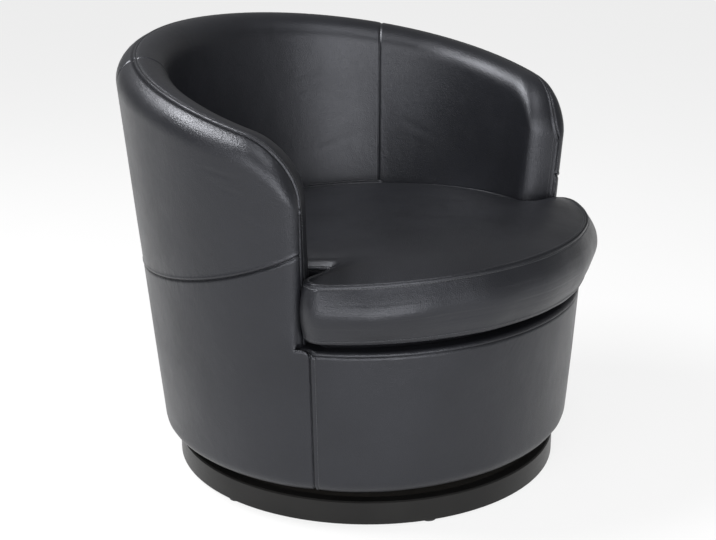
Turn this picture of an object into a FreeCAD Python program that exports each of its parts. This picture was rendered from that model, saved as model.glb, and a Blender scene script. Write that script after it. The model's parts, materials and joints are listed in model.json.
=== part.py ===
"""Swivel armchair: an upholstered barrel tub with a loose seat cushion, on a ball-bearing
swivel and a round plinth. Millimetres, +Z up, the sitter faces -Y. The origin is on the floor
at the middle of the chair's length and width. Each sub-part is drawn about the swivel's axis
and placed with it, a little in front of the origin. Angles go round from the back's middle."""
import FreeCAD, Part
import math
import os
import Sketcher
from FreeCAD import Vector

SIZES = [
    ("axis_forward", 18.2, "swivel's axis in front of the origin"),
    # plinth
    ("plinth_radius", 318.0, "outer radius of the plinth ring"),
    ("plinth_top", 40.5, "height of the plinth's top face above the floor"),
    ("plinth_wall", 18.0, "wall of the plinth ring beside its board"),
    ("plinth_ledge", 8.0, "ledge inside the ring that carries the board"),
    ("plinth_arris", 2.0, "eased top edge of the ring"),
    ("board_thickness", 15.0, "plinth board"),
    ("glide_radius", 12.0, "nylon floor glide"),
    ("glide_height", 3.0, "height of a glide under the ring"),
    ("glide_count", 6.0, "glides round the ring"),
    ("nail_radius", 1.2, "shank of a glide nail"),
    ("nail_head_radius", 3.0, "head of a glide nail"),
    ("nail_head_height", 1.0, "head of a glide nail"),
    ("nail_length", 17.0, "nail from under its head to its tip"),
    ("nail_head_recess", 0.4, "nail head above the floor"),
    # swivel bearing
    ("swivel_height", 24.5, "lower plate's underside to upper plate's top"),
    ("plate_side", 240.0, "square side of both swivel plates"),
    ("plate_thickness", 2.5, "pressed steel of both plates"),
    ("plate_corner", 20.0, "rounded corner of both plates"),
    ("race_radius", 90.0, "circle of the ball centres"),
    ("race_width", 22.0, "width of the raised race ring"),
    ("race_gap", 4.5, "gap between the two race rings"),
    ("ball_radius", 4.75, "bearing ball"),
    ("ball_count", 12.0, "bearing balls"),
    ("track_clearance", 0.06, "ball to track"),
    ("cage_thickness", 2.6, "nylon ball cage"),
    ("cage_width", 20.0, "width of the cage ring"),
    ("pocket_clearance", 0.25, "ball to its pocket"),
    ("pivot_radius", 10.0, "shank of the tubular pivot rivet"),
    ("pivot_bore", 6.0, "bore of the pivot rivet"),
    ("pivot_flange", 17.0, "radius of the rivet's flanges"),
    ("pivot_flange_height", 2.2, "thickness of the rivet's flanges"),
    ("running_clearance", 0.08, "rivet to upper plate, radial"),
    ("mount_circle", 140.0, "radius of the circle of the four plate fixings"),
    ("bolt_radius", 4.0, "upper plate bolt"),
    ("bolt_head_radius", 7.5, "upper plate bolt head"),
    ("bolt_head_height", 4.0, "upper plate bolt head"),
    ("screw_radius", 2.4, "lower plate wood screw"),
    ("screw_head_radius", 5.0, "lower plate wood screw head"),
    ("screw_head_height", 2.8, "lower plate wood screw head"),
    ("screw_crown_radius", 3.0, "flat top of that head"),
    ("screw_length", 13.0, "wood screw under its head"),
    ("tee_flange_radius", 11.0, "tee nut flange"),
    ("tee_flange_height", 1.5, "tee nut flange"),
    ("tee_barrel_radius", 5.4, "tee nut barrel"),
    ("tee_barrel_length", 12.0, "tee nut barrel"),
    ("drill_clearance", 0.1, "fixing to its hole, radial"),
    # tub outline
    ("wall_radius", 343.5, "outer radius of the tub where its flare starts"),
    ("flare_start", 100.0, "height where the flare is measured from"),
    ("crest_height", 696.0, "top of the back"),
    ("wall_flare", 49.7, "growth of the radius from flare start to crest height"),
    ("back_lean", 11.3, "further growth at the middle of the back"),
    ("front_flat", 11.5, "how far the front is flattened"),
    ("crest_fall", 68.0, "fall of the crest from back to side"),
    ("crest_dip", 6.0, "further fall that grows towards the front"),
    ("wall_depth", 60.5, "wall radius less the seat radius"),
    ("seat_radius", "=wall_radius - wall_depth", "inner radius of the tub at deck height"),
    ("inner_flare", 34.0, "growth of the inner radius from deck to crest height"),
    ("bottom_edge", 19.0, "rounded bottom edge of the tub"),
    ("bottom_flap", 28.0, "leather turned under the tub"),
    ("nose_start_angle", 103.2, "angle where the arm's nose begins"),
    ("nose_length", 73.0, "length of the rounded nose along the wall"),
    ("nose_drop", 88.0, "height of the nose's rounded top corner"),
    ("back_seam_angle", 52.4, "angle of the vertical seams"),
    ("front_seam_angle", 118.8, "angle of the front panel's seams"),
    ("crest_seam_inset", 24.0, "crest seam in from the outer wall"),
    ("side_seam_rise", 66.2, "rise of that seam up to the nose"),
    ("deck_height", 294.9, "top of the deck's leather strip"),
    ("seam_over_deck", 40.1, "level seam above the deck at the back"),
    ("side_seam_back", "=deck_height + seam_over_deck", "height of the level seam at the back"),
    # layers of the wall
    ("leather", 2.5, "upholstery leather"),
    ("soft_gap", 0.3, "clearance between upholstery layers"),
    ("frame_gap", 0.9, "clearance of posts and boards to what lines them"),
    ("padding", 12.0, "outer padding"),
    ("liner", 3.2, "hardboard liner"),
    ("frame_depth", 24.0, "depth of posts and rails"),
    ("post_width", 32.0, "width of a post along the wall"),
    ("crest_foam_foot", 8.0, "crest foam below the level where its roll starts"),
    ("top_rail_height", 42.0, "top rail"),
    ("inside_liner_thickness", 2.4, "liner that carries the inner foam"),
    # frame
    ("base_board_thickness", 18.0, "board under the tub"),
    ("base_board_hole", 26.0, "radius of its middle hole"),
    ("seat_ring_thickness", 18.0, "plywood seat ring"),
    ("seat_ring_width", 33.0, "seat radius less the ring's hole"),
    ("seat_ring_hole", "=seat_radius - seat_ring_width", "radius of the ring's hole"),
    ("front_rail_height", 56.0, "curved rail under the front edge"),
    ("block_size", 34.0, "glue block at the foot of a post"),
    ("dust_cover_thickness", 0.8, "black cloth under the tub"),
    ("dust_cover_window", 252.0, "square opening of that cloth"),
    # deck
    ("web_width", 50.0, "webbing strap"),
    ("web_pitch", 84.0, "spacing of the straps"),
    ("web_thickness", 1.4, "webbing strap"),
    ("web_count", 5.0, "straps each way"),
    ("deck_margin", 5.0, "seat radius less the deck's reach"),
    ("deck_reach", "=seat_radius - deck_margin", "radius of straps, pad and deck cloth"),
    ("deck_pad_thickness", 7.4, "felt pad on the straps"),
    ("deck_cloth_thickness", 0.9, "black cloth on the pad"),
    ("deck_edge", 6.0, "rounded front edge of the deck strip"),
    ("deck_strip_width", 76.0, "leather strip along the deck's front"),
    # cushion
    ("cushion_base_gap", 0.4, "cushion over the deck"),
    ("cushion_clearance", 3.0, "rear of the cushion to the tub at deck height"),
    ("cushion_rear_radius", "=seat_radius - cushion_clearance", "rear of the cushion"),
    ("cushion_overhang", 7.44, "front of the cushion in front of the deck's edge"),
    ("cushion_front_centre", 45.0, "the front edge's radius starts this far behind the axis"),
    ("flare_share", "=(deck_height - flare_start) / (crest_height - flare_start)",
     "share of the flare reached at deck height"),
    ("cushion_front_radius", "=wall_radius + (wall_flare - back_lean) * flare_share - front_flat"
     " + cushion_overhang + cushion_front_centre", "radius of the cushion's front edge"),
    ("ear_gap", 10.5, "rear face of the ears in front of the arm noses' front"),
    ("ear_line", "=(seat_radius + wall_radius) / 2 * sin((nose_start_angle - 90) * 1 deg)"
     " + nose_length + ear_gap", "rear face of the ears, in front of the axis"),
    ("ear_corner", 28.0, "rounded corner of an ear"),
    ("cushion_foot", 15.7, "height of the cushion's drawn-in foot"),
    ("lower_seam_height", "=deck_height + cushion_base_gap + cushion_foot",
     "lower seam of the cushion"),
    ("boxing_height", 97.0, "from the lower seam to the upper seam"),
    ("upper_seam_height", "=lower_seam_height + boxing_height", "upper seam of the cushion"),
    ("rear_fall", 28.0, "how much lower the upper seam lies at the rear than in front"),
    ("cushion_length", "=cushion_rear_radius + cushion_front_radius - cushion_front_centre",
     "from the cushion's front to its rear"),
    ("crown_rise", 24.0, "from the upper seam to the top of the crown"),
    ("crown_share", 0.4156, "how far in the crown still rises, as a share of the front radius"),
    ("crown_depth", "=cushion_front_radius * crown_share",
     "how far in from its seam the cushion's crown still rises"),
    ("cushion_bulge", 14.0, "swell of the cushion's front between its seams"),
    ("cushion_tuck", 17.0, "cushion's underside in from its lower seam"),
    ("joint_behind", 23.0, "joint of the boxings behind the ears' rear face"),
    ("boxing_joint", "=ear_line - joint_behind", "joint of the boxings, in front of the axis"),
    ("zip_angle", 62.0, "half angle of the zip round the cushion's rear"),
    ("zip_slot", 22.0, "height of the zip's slot in the boxing"),
    ("zip_tape_thickness", 1.2, "zip tape"),
    ("coil_height", 5.0, "height of the zip's coil"),
    ("coil_depth", 2.2, "how far the coil stands out of its tape"),
    ("slider_wall", 0.9, "metal of the slider"),
    ("slider_length", 13.0, "slider along the zip"),
    ("slider_clearance", 0.35, "slider to coil"),
    ("pull_drop", 26.0, "length of the pull tab"),
    ("pull_width", 6.0, "width of the pull tab"),
]

doc = FreeCAD.newDocument("swivel_armchair")
sheet = doc.addObject("Spreadsheet::Sheet", "sizes")
for row, (alias, value, meaning) in enumerate(SIZES, start=1):
    sheet.set(f"A{row}", alias)
    sheet.set(f"B{row}", str(value))
    sheet.setAlias(f"B{row}", alias)
    sheet.set(f"C{row}", meaning)
doc.recompute()

# shares: places that follow a named size
BACK_POST_SHARES = (-0.62, -0.31, 0.0, 0.31, 0.62)
FRONT_POST_SHARES = (-0.55, 0.0, 0.55)
NOSE_SHARES = (0.0, 0.3, 0.55, 0.73, 0.84, 0.91, 0.955, 0.98)
NOSE_POWER = 6
NOSE_OUTER_SHARE = 0.7
NOSE_INNER_SHARE = 1.3
CROWN_SHARES = (0.0, 0.06, 0.15, 0.3, 0.52, 0.76, 1.0)
REAR_STEPS = 12
CORNER_STEPS = 3
FRONT_STEPS = 7
RING_FINENESS = 1e-6
CROWN_POWER = 3.6
SEAM_POWER = 3.5
STRIP_SHARE = 0.7
SIDE_SHARES = (0.0, 0.15, 0.36, 0.64, 0.85, 1.0)
SPACING = 7.6
HALF = 0.5
QUARTER_TURN = 90.0
HALF_TURN = 180.0
FULL_TURN = 360.0
FIXINGS = 4
FIRST_FIXING = 45.0
OUTLINE_ARCS = 24
REAR_ARCS = 3
OVERRUN = 5.0
PARTS = []


def size(alias):
    """The value of one cell of the sheet."""
    return float(getattr(sheet, alias))


def cell(text):
    """The value of an expression in the sheet's cells."""
    value = sheet.evalExpression(text)
    return float(getattr(value, "Value", value))


def keep(item, label):
    """Names a sub-part, sets it about the swivel's axis and puts it on the list."""
    item.Label = label
    item.setExpression(".Placement.Base.y", "-sizes.axis_forward")
    PARTS.append(item)
    return item


def feature(label, shape):
    """A sub-part whose shape is worked out from the sheet's values."""
    item = doc.addObject("Part::Feature", label)
    item.Shape = shape
    return keep(item, label)


# Sketches and bodies

def new_body(name):
    return doc.addObject("PartDesign::Body", name)


def origin_plane(body, role):
    return next(f for f in body.Origin.OriginFeatures if f.Role == role)


def sketch_on(body, name, role, height=None):
    """An empty sketch on a body's own origin plane, lifted by an expression."""
    sketch = body.newObject("Sketcher::SketchObject", name)
    sketch.AttachmentSupport = [(origin_plane(body, role), "")]
    sketch.MapMode = "FlatFace"
    if height:
        sketch.setExpression("AttachmentOffset.Base.z", height)
    return sketch


def fix(sketch, kind, geometry, point, text, name):
    """Ties one coordinate of a point to an expression."""
    sketch.addConstraint(Sketcher.Constraint(kind, geometry, point, cell(text)))
    index = sketch.ConstraintCount - 1
    sketch.renameConstraint(index, name)
    sketch.setExpression("Constraints." + name, text)


def polygon(sketch, corners):
    """A closed outline whose corners are pairs of expressions; "0" lies on an axis."""
    points = [Vector(cell(a), cell(b), 0) for a, b in corners]
    first = sketch.GeometryCount
    count = len(points)
    for i, point in enumerate(points):
        sketch.addGeometry(Part.LineSegment(point, points[(i + 1) % count]), False)
    for i in range(count):
        following = first + (i + 1) % count
        sketch.addConstraint(Sketcher.Constraint("Coincident", first + i, 2, following, 1))
    for i, (across, up) in enumerate(corners):
        for kind, text, axis in (("DistanceX", across, -2), ("DistanceY", up, -1)):
            if text == "0":
                sketch.addConstraint(Sketcher.Constraint("PointOnObject", first + i, 1, axis))
            else:
                fix(sketch, kind, first + i, 1, text, f"{kind[-1].lower()}{first + i}")


def circle(sketch, radius, across="0", up="0"):
    """A circle with its radius and centre tied to expressions."""
    centre = Vector(cell(across), cell(up), 0)
    index = sketch.addGeometry(Part.Circle(centre, Vector(0, 0, 1), cell(radius)), False)
    sketch.addConstraint(Sketcher.Constraint("Radius", index, cell(radius)))
    name = f"radius{index}"
    sketch.renameConstraint(sketch.ConstraintCount - 1, name)
    sketch.setExpression("Constraints." + name, radius)
    for kind, text, axis in (("DistanceX", across, -2), ("DistanceY", up, -1)):
        if text == "0":
            sketch.addConstraint(Sketcher.Constraint("PointOnObject", index, 3, axis))
        else:
            fix(sketch, kind, index, 3, text, f"{kind[-1].lower()}{index}")


def pad(body, sketch, name, length):
    item = body.newObject("PartDesign::Pad", name)
    item.Profile = sketch
    item.setExpression("Length", length)
    doc.recompute()
    return item


def pocket_up(body, sketch, name, length):
    """A pocket cut upwards from its sketch."""
    item = body.newObject("PartDesign::Pocket", name)
    item.Profile = sketch
    item.Reversed = True
    item.setExpression("Length", length)
    doc.recompute()
    return item


def revolve(body, sketch, name, kind="PartDesign::Revolution"):
    item = body.newObject(kind, name)
    item.Profile = sketch
    item.ReferenceAxis = (sketch, ["V_Axis"])
    item.Angle = FULL_TURN
    doc.recompute()
    return item


def polar(body, original, name, count):
    """Copies of a feature round the body's vertical axis."""
    item = body.newObject("PartDesign::PolarPattern", name)
    item.Originals = [original]
    item.Axis = (origin_plane(body, "Z_Axis"), [""])
    item.Angle = FULL_TURN
    item.setExpression("Occurrences", count)
    body.Tip = item
    doc.recompute()
    return item


def turned_copies(template, label, count, first_angle=0.0):
    """Separate copies of a solid round the vertical axis, as one sub-part."""
    step = FULL_TURN / count
    copies = []
    for i in range(count):
        copy = template.Shape.copy()
        copy.rotate(Vector(0, 0, 0), Vector(0, 0, 1), first_angle + i * step)
        copies.append(copy)
    return feature(label, Part.makeCompound(copies))


def turned_profile(name, corners):
    """A turned solid: a revolved sketch in a body of its own."""
    body = new_body(name)
    sketch = sketch_on(body, name + "_profile", "XZ_Plane")
    polygon(sketch, corners)
    revolve(body, sketch, name + "_turned")
    return body


def at_radius(body, radius):
    """Moves a body out along X by an expression."""
    body.setExpression(".Placement.Base.x", radius)
    doc.recompute()


# Plinth: a rebated ring on nylon glides, with a board let into it

def make_plinth():
    body = new_body("plinth_ring")
    profile = sketch_on(body, "ring_profile", "XZ_Plane")
    outer = "sizes.plinth_radius"
    inner = "sizes.plinth_radius - sizes.plinth_wall"
    ledge = inner + " - sizes.plinth_ledge"
    seat = "sizes.plinth_top - sizes.board_thickness"
    polygon(profile, [
        (ledge, "sizes.glide_height"),
        (outer, "sizes.glide_height"),
        (outer, "sizes.plinth_top - sizes.plinth_arris"),
        (outer + " - sizes.plinth_arris", "sizes.plinth_top"),
        (inner, "sizes.plinth_top"),
        (inner, seat),
        (ledge, seat),
    ])
    revolve(body, profile, "ring_turned")
    glide_circle = "sizes.plinth_radius - (sizes.plinth_wall + sizes.plinth_ledge) / 2"
    drill = sketch_on(body, "nail_hole", "XY_Plane", "sizes.glide_height")
    circle(drill, "sizes.nail_radius + sizes.drill_clearance", glide_circle)
    hole_depth = ("sizes.nail_length + sizes.nail_head_height + sizes.nail_head_recess"
                  " - sizes.glide_height + sizes.drill_clearance")
    hole = pocket_up(body, drill, "nail_pocket", hole_depth)
    polar(body, hole, "nail_pockets", "sizes.glide_count")
    keep(body, "plinth_ring")

    board = new_body("plinth_board")
    disc = sketch_on(board, "board_disc", "XY_Plane", seat)
    circle(disc, inner + " - sizes.drill_clearance")
    pad(board, disc, "board_pad", "sizes.board_thickness")
    drill = sketch_on(board, "screw_hole", "XY_Plane",
                      "sizes.plinth_top - sizes.screw_length + sizes.plate_thickness"
                      " - sizes.drill_clearance")
    circle(drill, "sizes.screw_radius + sizes.drill_clearance", "sizes.mount_circle")
    hole = pocket_up(board, drill, "screw_pocket", "sizes.board_thickness")
    polar(board, hole, "screw_pockets", str(FIXINGS))
    board.Placement.Rotation = FreeCAD.Rotation(Vector(0, 0, 1), FIRST_FIXING)
    keep(board, "plinth_board")

    bore = "sizes.nail_radius + sizes.drill_clearance"
    sink = "sizes.nail_head_radius + sizes.drill_clearance"
    sink_top = "sizes.nail_head_recess + sizes.nail_head_height"
    glide = turned_profile("glide", [
        (sink, "0"),
        ("sizes.glide_radius", "0"),
        ("sizes.glide_radius", "sizes.glide_height"),
        (bore, "sizes.glide_height"),
        (bore, sink_top),
        (sink, sink_top),
    ])
    at_radius(glide, glide_circle)
    turned_copies(glide, "floor_glides", int(size("glide_count")))
    tip = sink_top + " + sizes.nail_length"
    nail = turned_profile("nail", [
        ("0", "sizes.nail_head_recess"),
        ("sizes.nail_head_radius", "sizes.nail_head_recess"),
        ("sizes.nail_head_radius", sink_top),
        ("sizes.nail_radius", sink_top),
        ("sizes.nail_radius", tip + " - 2 * sizes.nail_radius"),
        ("0", tip),
    ])
    at_radius(nail, glide_circle)
    turned_copies(nail, "glide_nails", int(size("glide_count")))


# Swivel: two pressed plates with raised races, a caged ring of balls and a pivot rivet

BALL_LEVEL = "(sizes.plinth_top + sizes.swivel_height / 2)"
SWIVEL_TOP = "(sizes.plinth_top + sizes.swivel_height)"


def swivel_plate(label, plate_bottom, race_bottom, race_top, bore, fixing):
    """One square plate with its race ring, V-shaped ball track, middle bore and fixing holes."""
    body = new_body(label)
    corner = "sizes.plate_side / 2"
    blank = sketch_on(body, label + "_blank", "XY_Plane", plate_bottom)
    polygon(blank, [("-" + corner, "-" + corner), (corner, "-" + corner),
                    (corner, corner), ("-" + corner, corner)])
    plate = pad(body, blank, label + "_pad", "sizes.plate_thickness")
    upright = [f"Edge{i + 1}" for i, edge in enumerate(plate.Shape.Edges)
               if abs(edge.Vertexes[0].Z - edge.Vertexes[-1].Z) > cell("sizes.plate_thickness / 2")]
    rounded = body.newObject("PartDesign::Fillet", label + "_corners")
    rounded.Base = (plate, upright)
    rounded.setExpression("Radius", "sizes.plate_corner")
    doc.recompute()
    ring = sketch_on(body, label + "_race", "XZ_Plane")
    inner = "sizes.race_radius - sizes.race_width / 2"
    outer = "sizes.race_radius + sizes.race_width / 2"
    polygon(ring, [(inner, race_bottom), (outer, race_bottom), (outer, race_top), (inner, race_top)])
    revolve(body, ring, label + "_race_ring")
    track = sketch_on(body, label + "_track", "XZ_Plane")
    reach = " (sizes.ball_radius + sizes.track_clearance) / cos(45)"
    polygon(track, [("sizes.race_radius -" + reach, BALL_LEVEL),
                    ("sizes.race_radius", BALL_LEVEL + " -" + reach),
                    ("sizes.race_radius +" + reach, BALL_LEVEL),
                    ("sizes.race_radius", BALL_LEVEL + " +" + reach)])
    revolve(body, track, label + "_groove", "PartDesign::Groove")
    middle = sketch_on(body, label + "_bore", "XY_Plane", plate_bottom)
    circle(middle, bore)
    pocket_up(body, middle, label + "_middle", "sizes.plate_thickness")
    drill = sketch_on(body, label + "_fixing", "XY_Plane", plate_bottom)
    circle(drill, fixing, "sizes.mount_circle * cos(45)", "sizes.mount_circle * sin(45)")
    hole = pocket_up(body, drill, label + "_hole", "sizes.plate_thickness")
    polar(body, hole, label + "_holes", str(FIXINGS))
    return keep(body, label)


def make_swivel():
    swivel_plate("swivel_lower_plate", "sizes.plinth_top",
                 "sizes.plinth_top + sizes.plate_thickness / 2",
                 BALL_LEVEL + " - sizes.race_gap / 2", "sizes.pivot_radius",
                 "sizes.screw_radius + sizes.drill_clearance")
    swivel_plate("swivel_upper_plate", SWIVEL_TOP + " - sizes.plate_thickness",
                 BALL_LEVEL + " + sizes.race_gap / 2",
                 SWIVEL_TOP + " - sizes.plate_thickness / 2",
                 "sizes.pivot_radius + sizes.running_clearance",
                 "sizes.bolt_radius + sizes.drill_clearance")

    cage = new_body("ball_cage")
    ring = sketch_on(cage, "cage_ring", "XY_Plane", BALL_LEVEL + " - sizes.cage_thickness / 2")
    circle(ring, "sizes.race_radius + sizes.cage_width / 2")
    circle(ring, "sizes.race_radius - sizes.cage_width / 2")
    pad(cage, ring, "cage_pad", "sizes.cage_thickness")
    seat = sketch_on(cage, "cage_pocket", "XY_Plane", BALL_LEVEL + " - sizes.cage_thickness / 2")
    circle(seat, "sizes.ball_radius + sizes.pocket_clearance", "sizes.race_radius")
    pocket = pocket_up(cage, seat, "cage_seat", "sizes.cage_thickness")
    polar(cage, pocket, "cage_seats", "sizes.ball_count")
    keep(cage, "ball_cage")

    ball = doc.addObject("Part::Sphere", "ball")
    ball.setExpression("Radius", "sizes.ball_radius")
    ball.setExpression(".Placement.Base.x", "sizes.race_radius")
    ball.setExpression(".Placement.Base.z", BALL_LEVEL)
    doc.recompute()
    turned_copies(ball, "bearing_balls", int(size("ball_count")))

    lower_top = "sizes.plinth_top + sizes.plate_thickness"
    head = SWIVEL_TOP + " + sizes.running_clearance"
    keep(turned_profile("pivot_rivet", [
        ("sizes.pivot_bore", "sizes.plinth_top"),
        ("sizes.pivot_radius", "sizes.plinth_top"),
        ("sizes.pivot_radius", lower_top),
        ("sizes.pivot_flange", lower_top),
        ("sizes.pivot_flange", lower_top + " + sizes.pivot_flange_height"),
        ("sizes.pivot_radius", lower_top + " + sizes.pivot_flange_height"),
        ("sizes.pivot_radius", head),
        ("sizes.pivot_flange", head),
        ("sizes.pivot_flange", head + " + sizes.pivot_flange_height"),
        ("sizes.pivot_bore", head + " + sizes.pivot_flange_height"),
    ]), "pivot_rivet")

    screw_tip = lower_top + " - sizes.screw_length"
    screw = turned_profile("screw", [
        ("0", screw_tip),
        ("sizes.screw_radius", screw_tip + " + 2 * sizes.screw_radius"),
        ("sizes.screw_radius", lower_top),
        ("sizes.screw_head_radius", lower_top),
        ("sizes.screw_crown_radius", lower_top + " + sizes.screw_head_height"),
        ("0", lower_top + " + sizes.screw_head_height"),
    ])
    at_radius(screw, "sizes.mount_circle")
    turned_copies(screw, "lower_plate_screws", FIXINGS, FIRST_FIXING)

    under_plate = SWIVEL_TOP + " - sizes.plate_thickness"
    bolt_end = SWIVEL_TOP + " + sizes.base_board_thickness"
    bolt = turned_profile("bolt", [
        ("0", under_plate + " - sizes.bolt_head_height"),
        ("sizes.bolt_head_radius", under_plate + " - sizes.bolt_head_height"),
        ("sizes.bolt_head_radius", under_plate),
        ("sizes.bolt_radius", under_plate),
        ("sizes.bolt_radius", bolt_end),
        ("0", bolt_end),
    ])
    at_radius(bolt, "sizes.mount_circle")
    turned_copies(bolt, "upper_plate_bolts", FIXINGS, FIRST_FIXING)
    nut_bore = "sizes.bolt_radius + sizes.drill_clearance"
    tee = turned_profile("tee_nut", [
        (nut_bore, bolt_end + " - sizes.tee_barrel_length"),
        ("sizes.tee_barrel_radius", bolt_end + " - sizes.tee_barrel_length"),
        ("sizes.tee_barrel_radius", bolt_end),
        ("sizes.tee_flange_radius", bolt_end),
        ("sizes.tee_flange_radius", bolt_end + " + sizes.tee_flange_height"),
        (nut_bore, bolt_end + " + sizes.tee_flange_height"),
    ])
    at_radius(tee, "sizes.mount_circle")
    turned_copies(tee, "tee_nuts", FIXINGS, FIRST_FIXING)


# The tub's outline: every layer of the wall is measured in from this surface

def outer_radius(angle, z):
    """Outer face of the tub's leather at an angle from the back and a height."""
    share = (z - size("flare_start")) / (size("crest_height") - size("flare_start"))
    turn = math.radians(angle)
    growth = (size("wall_flare") + size("back_lean") * math.cos(turn)) * share
    away = abs(HALF_TURN - abs(angle)) / (HALF_TURN - size("front_seam_angle"))
    flat = size("front_flat") * (1 - away ** 2) ** 2 if away < 1 else 0
    return size("wall_radius") + growth - flat


def inner_radius(z):
    """Inner face of the tub's leather at a height."""
    rise = size("crest_height") - size("deck_height")
    return size("seat_radius") + size("inner_flare") * (z - size("deck_height")) / rise


def crest(angle):
    """Height of the crest, without the rounded corner of the nose."""
    back = 1 - math.cos(math.radians(angle))
    return size("crest_height") - size("crest_fall") * back - size("crest_dip") * back ** 2


def side_seam(angle):
    """Height of the level seam, which climbs towards the noses."""
    share = abs(angle) / size("nose_start_angle")
    return size("side_seam_back") + size("side_seam_rise") * share ** SEAM_POWER


class Station:
    """One upright cut through the wall at an angle, with its rounded crest."""

    def __init__(self, angle, nose_share=0.0):
        """nose_share goes from 0 where the nose starts to 1 at its very front."""
        self.angle = angle
        top = crest(angle) - size("nose_drop") * (1 - math.sqrt(1 - nose_share ** 2))
        narrow = math.sqrt(1 - nose_share ** NOSE_POWER)
        self.squeeze = 0.0
        half = HALF * (self.outer(top) - self.inner(top))
        level = top - half
        full = HALF * (self.outer(level) - self.inner(level))
        self.squeeze = full * (1 - narrow)
        self.lean = math.atan((self.inner(top) - self.inner(level)) / (top - level))
        self.radius = full * narrow * math.cos(self.lean)
        self.level = top - self.radius
        self.middle = HALF * (self.outer(self.level) + self.inner(self.level))

    def outer(self, z, inset=0.0):
        return outer_radius(self.angle, z) - NOSE_OUTER_SHARE * self.squeeze - inset

    def inner(self, z, inset=0.0):
        return inner_radius(z) + NOSE_INNER_SHARE * self.squeeze + inset

    def point(self, radius, z):
        turn = math.radians(self.angle)
        return Vector(radius * math.sin(turn), radius * math.cos(turn), z)

    def roll(self, turn, inset=0.0):
        """A point on the rolled crest; turn is 0 at the outer wall and 180 at the inner."""
        reach = self.radius - inset
        direction = math.radians(turn) - self.lean
        return self.point(self.middle + reach * math.cos(direction),
                          self.level + reach * math.sin(direction))

    def seam_turn(self):
        """How far round the roll the crest seam lies, outer wall first."""
        share = 1 - size("crest_seam_inset") / (HALF * (self.full_width()))
        return math.degrees(math.acos(share)) + math.degrees(self.lean)

    def full_width(self):
        top = crest(size("nose_start_angle"))
        return outer_radius(size("nose_start_angle"), top) - inner_radius(top)

    def outer_edge(self, low, high, inset):
        """The outer wall between two heights."""
        return straight(self.point(self.outer(low, inset), low),
                        self.point(self.outer(high, inset), high))

    def outer_to_roll(self, low, inset):
        """The outer wall from a height up to where the roll starts."""
        return straight(self.point(self.outer(low, inset), low), self.roll(0, inset))

    def roll_arc(self, first, last, inset):
        return Part.Arc(self.roll(first, inset), self.roll(HALF * (first + last), inset),
                        self.roll(last, inset)).toShape()


def straight(first, last):
    return Part.LineSegment(first, last).toShape()


def closed(edges):
    """A wire through edges that follow one another, whichever way each one runs."""
    return Part.Wire(Part.__sortEdges__(edges))


def loft(wires):
    """A solid through the sections."""
    solid = Part.makeLoft(wires, True, True)
    return solid if solid.Volume > 0 else solid.reversed()


def spread(*ends):
    """Angles from the first end to the last, through the ends between, close together."""
    angles = [ends[0]]
    for first, last in zip(ends, ends[1:]):
        count = math.ceil(abs(last - first) / SPACING)
        angles += [first + (last - first) * (i + 1) / count for i in range(count)]
    return angles


def wall_angles():
    """Stations from arm to arm, shared by every layer of the wall."""
    seam = size("back_seam_angle")
    start = size("nose_start_angle")
    return spread(-start, -seam, seam, start)


def front_angles(*starts):
    """Stations round the front, from nose to nose or from starts of their own."""
    seam = size("front_seam_angle")
    starts = starts or (size("nose_start_angle"), strip_start())
    ends = [FULL_TURN - start for start in reversed(starts)]
    return spread(*starts, seam, FULL_TURN - seam, *ends)


def nose_reach():
    """Angle that a nose takes up along the wall."""
    start = size("nose_start_angle")
    mid_radius = HALF * (outer_radius(start, size("deck_height")) + size("seat_radius"))
    return math.degrees(size("nose_length") / mid_radius)


def strip_start():
    """Where the deck's strip comes out from under a nose."""
    return size("nose_start_angle") + STRIP_SHARE * nose_reach()


def nose_stations(side):
    """Stations from the start of an arm's nose to its front; side is 1 or -1."""
    start = size("nose_start_angle")
    return [Station(side * (start + nose_reach() * share), share) for share in NOSE_SHARES]


def ring_section(station, near, far, low, high):
    """A four-sided cut between two insets and two heights."""
    return closed([
        station.outer_edge(low, high, near),
        straight(station.point(station.outer(high, near), high),
                 station.point(station.outer(high, far), high)),
        station.outer_edge(low, high, far),
        straight(station.point(station.outer(low, far), low),
                 station.point(station.outer(low, near), low)),
    ])


def wall_piece(angles, near, far, low, high):
    """A bent board or pad; low and high are heights or functions of the angle."""
    sections = []
    for angle in angles:
        bottom = low(angle) if callable(low) else low
        top = high(angle) if callable(high) else high
        sections.append(ring_section(Station(angle), near, far, bottom, top))
    return loft(sections)


def rail_top(angle):
    """Top of the rail and of the liners, just under the level where the crest's roll starts."""
    return Station(angle).level - size("crest_foam_foot")


def bottom_level():
    return size("plinth_top") + size("swivel_height")


def board_top():
    return bottom_level() + size("base_board_thickness")


def padding_inset():
    return size("leather") + size("soft_gap")


def liner_inset():
    return padding_inset() + size("padding") + size("soft_gap")


def frame_inset():
    return liner_inset() + size("liner") + size("frame_gap")


def frame_inside():
    return frame_inset() + size("frame_depth")


def outline_plate(radius_at, low, thickness, hole=None):
    """A flat board cut to a closed outline given as a radius for each angle."""
    def place(angle):
        turn = math.radians(angle)
        reach = radius_at((angle + HALF_TURN) % FULL_TURN - HALF_TURN)
        return Vector(reach * math.sin(turn), reach * math.cos(turn), low)
    step = FULL_TURN / OUTLINE_ARCS
    edges = [Part.Arc(place(i * step), place((i + HALF) * step), place((i + 1) * step)).toShape()
             for i in range(OUTLINE_ARCS)]
    plate = Part.Face(closed(edges)).extrude(Vector(0, 0, thickness))
    if hole:
        cutter = Part.makeCylinder(hole, thickness + 2 * OVERRUN, Vector(0, 0, low - OVERRUN))
        plate = plate.cut(cutter)
    return plate


# Frame of the tub: base board, posts, rails, seat ring and liners

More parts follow.
